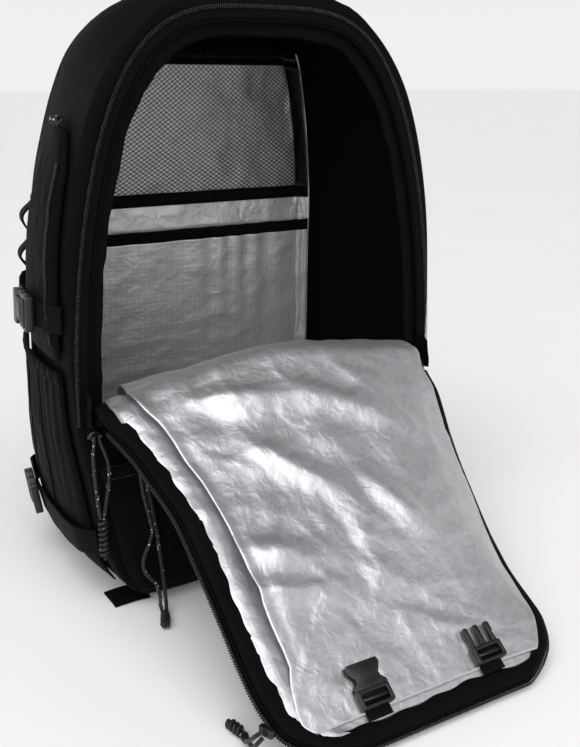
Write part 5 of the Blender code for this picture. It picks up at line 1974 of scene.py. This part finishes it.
# %% [markdown]
# ## Sliders
# A slider is a die cast body with a bridge that holds the pull. Both here are dark, and the
# cord takes the place of a metal puller.


# %% Zip sliders
def make_slider(name, node):
    body = copy_of(node)
    middle = sum((vert.co for vert in body.verts), Vector()) / len(body.verts)
    bmesh.ops.dissolve_limit(body, angle_limit=0.02, verts=body.verts, edges=body.edges)
    bmesh.ops.bevel(
        body,
        geom=list(body.edges),
        offset=0.0008,
        segments=2,
        profile=0.5,
        affect="EDGES",
        material=-1,
    )
    made = link_mesh(name, body)
    made.data.set_sharp_from_angle(angle=math.radians(40))
    wear(made, ACETAL, "acetal", node)
    arc = []
    for k in range(13):
        angle = math.pi * k / 12
        arc.append(middle + Vector((0.0012 * math.cos(angle), 0.0, 0.0016 * math.sin(angle))))
    bridge = tube(name + "_bridge", arc, 0.0006, 2)
    wear(bridge, ACETAL, "acetal")
    print(name, len(made.data.polygons), "faces")


make_slider("flap_zip_slider", "slider_flap")
make_slider("tip_zip_slider", "slider_tip")

# %% [markdown]
# ## Knot on the side pocket, carrying webbing and handle

# %% Remaining soft trims
low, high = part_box("pocket_pull_knot")
start = Vector((low[0] + high[0], 2 * low[1], low[2] + high[2])) / 2
end = Vector((low[0] + high[0], 2 * high[1], low[2] + high[2])) / 2
ends = Vector((0.0, 0.002, 0.0))
turned = tube("pocket_knot", winding(start + ends, end - ends, 5, 0.0026), 0.00145, 3)
wear(turned, SLEEVE, "cord", "pocket_pull_knot")


def make_harness(side, name):
    def place(s, t):
        z = blend(0.150 - 0.0009, 0.042, t)
        index = blend(BACK_START + 1.9, BACK_START - 1.6, t) + 0.8 * (s - 0.5)
        lift = blend(0.008 + 3 * GAP, 3 * GAP, t**5) + WEB_THICK / 2
        return skin(index, z, lift, side)

    web = cloth("harness_strap_" + name, 10, 60, place, WEB_THICK, (0.020, 0.115))
    wear(web, WEBBING, "webbing", "harness_webbing_" + name)


def make_handle():
    middle_y = -0.5 * (0.640 * FRONT_DEPTH + 0.060 * BACK_DEPTH)

    def place(s, t):
        angle = math.pi * t
        lift = 0.0015
        x = -(0.042 + lift) * math.cos(angle)
        z = HEIGHT + 0.0003 + 0.028 * math.sin(angle) ** 0.7 + lift * math.sin(angle)
        return Vector((x, middle_y + 0.024 * (s - 0.5), z))

    grip = cloth("grab_handle", 12, 60, place, 0.0026, (0.024, 0.115))
    wear(grip, WEBBING, "webbing", "top_handle")


make_harness(-1, "left")
make_harness(1, "right")
make_handle()

# %% [markdown]
# ## Finishes for the solids that stay
# Whatever is left of the model keeps its own shape and takes the finish of its slot.

# %% Finish the solids that stay
SLOT_FINISH = {
    "nylon_cloth": NYLON,
    "lining_cloth": LINING,
    "webbing": WEBBING,
    "silver_film": FILM,
    "silver_ripstop": RIPSTOP,
    "net": NET,
    "coil_zip": COIL,
    "acetal": ACETAL,
    "cord": SLEEVE,
}
for name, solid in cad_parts.items():
    for k, material in enumerate(solid.data.materials):
        slot = next((s for s in SLOT_FINISH if material and material.name.startswith(s)), None)
        if slot:
            solid.data.materials[k] = SLOT_FINISH[slot]
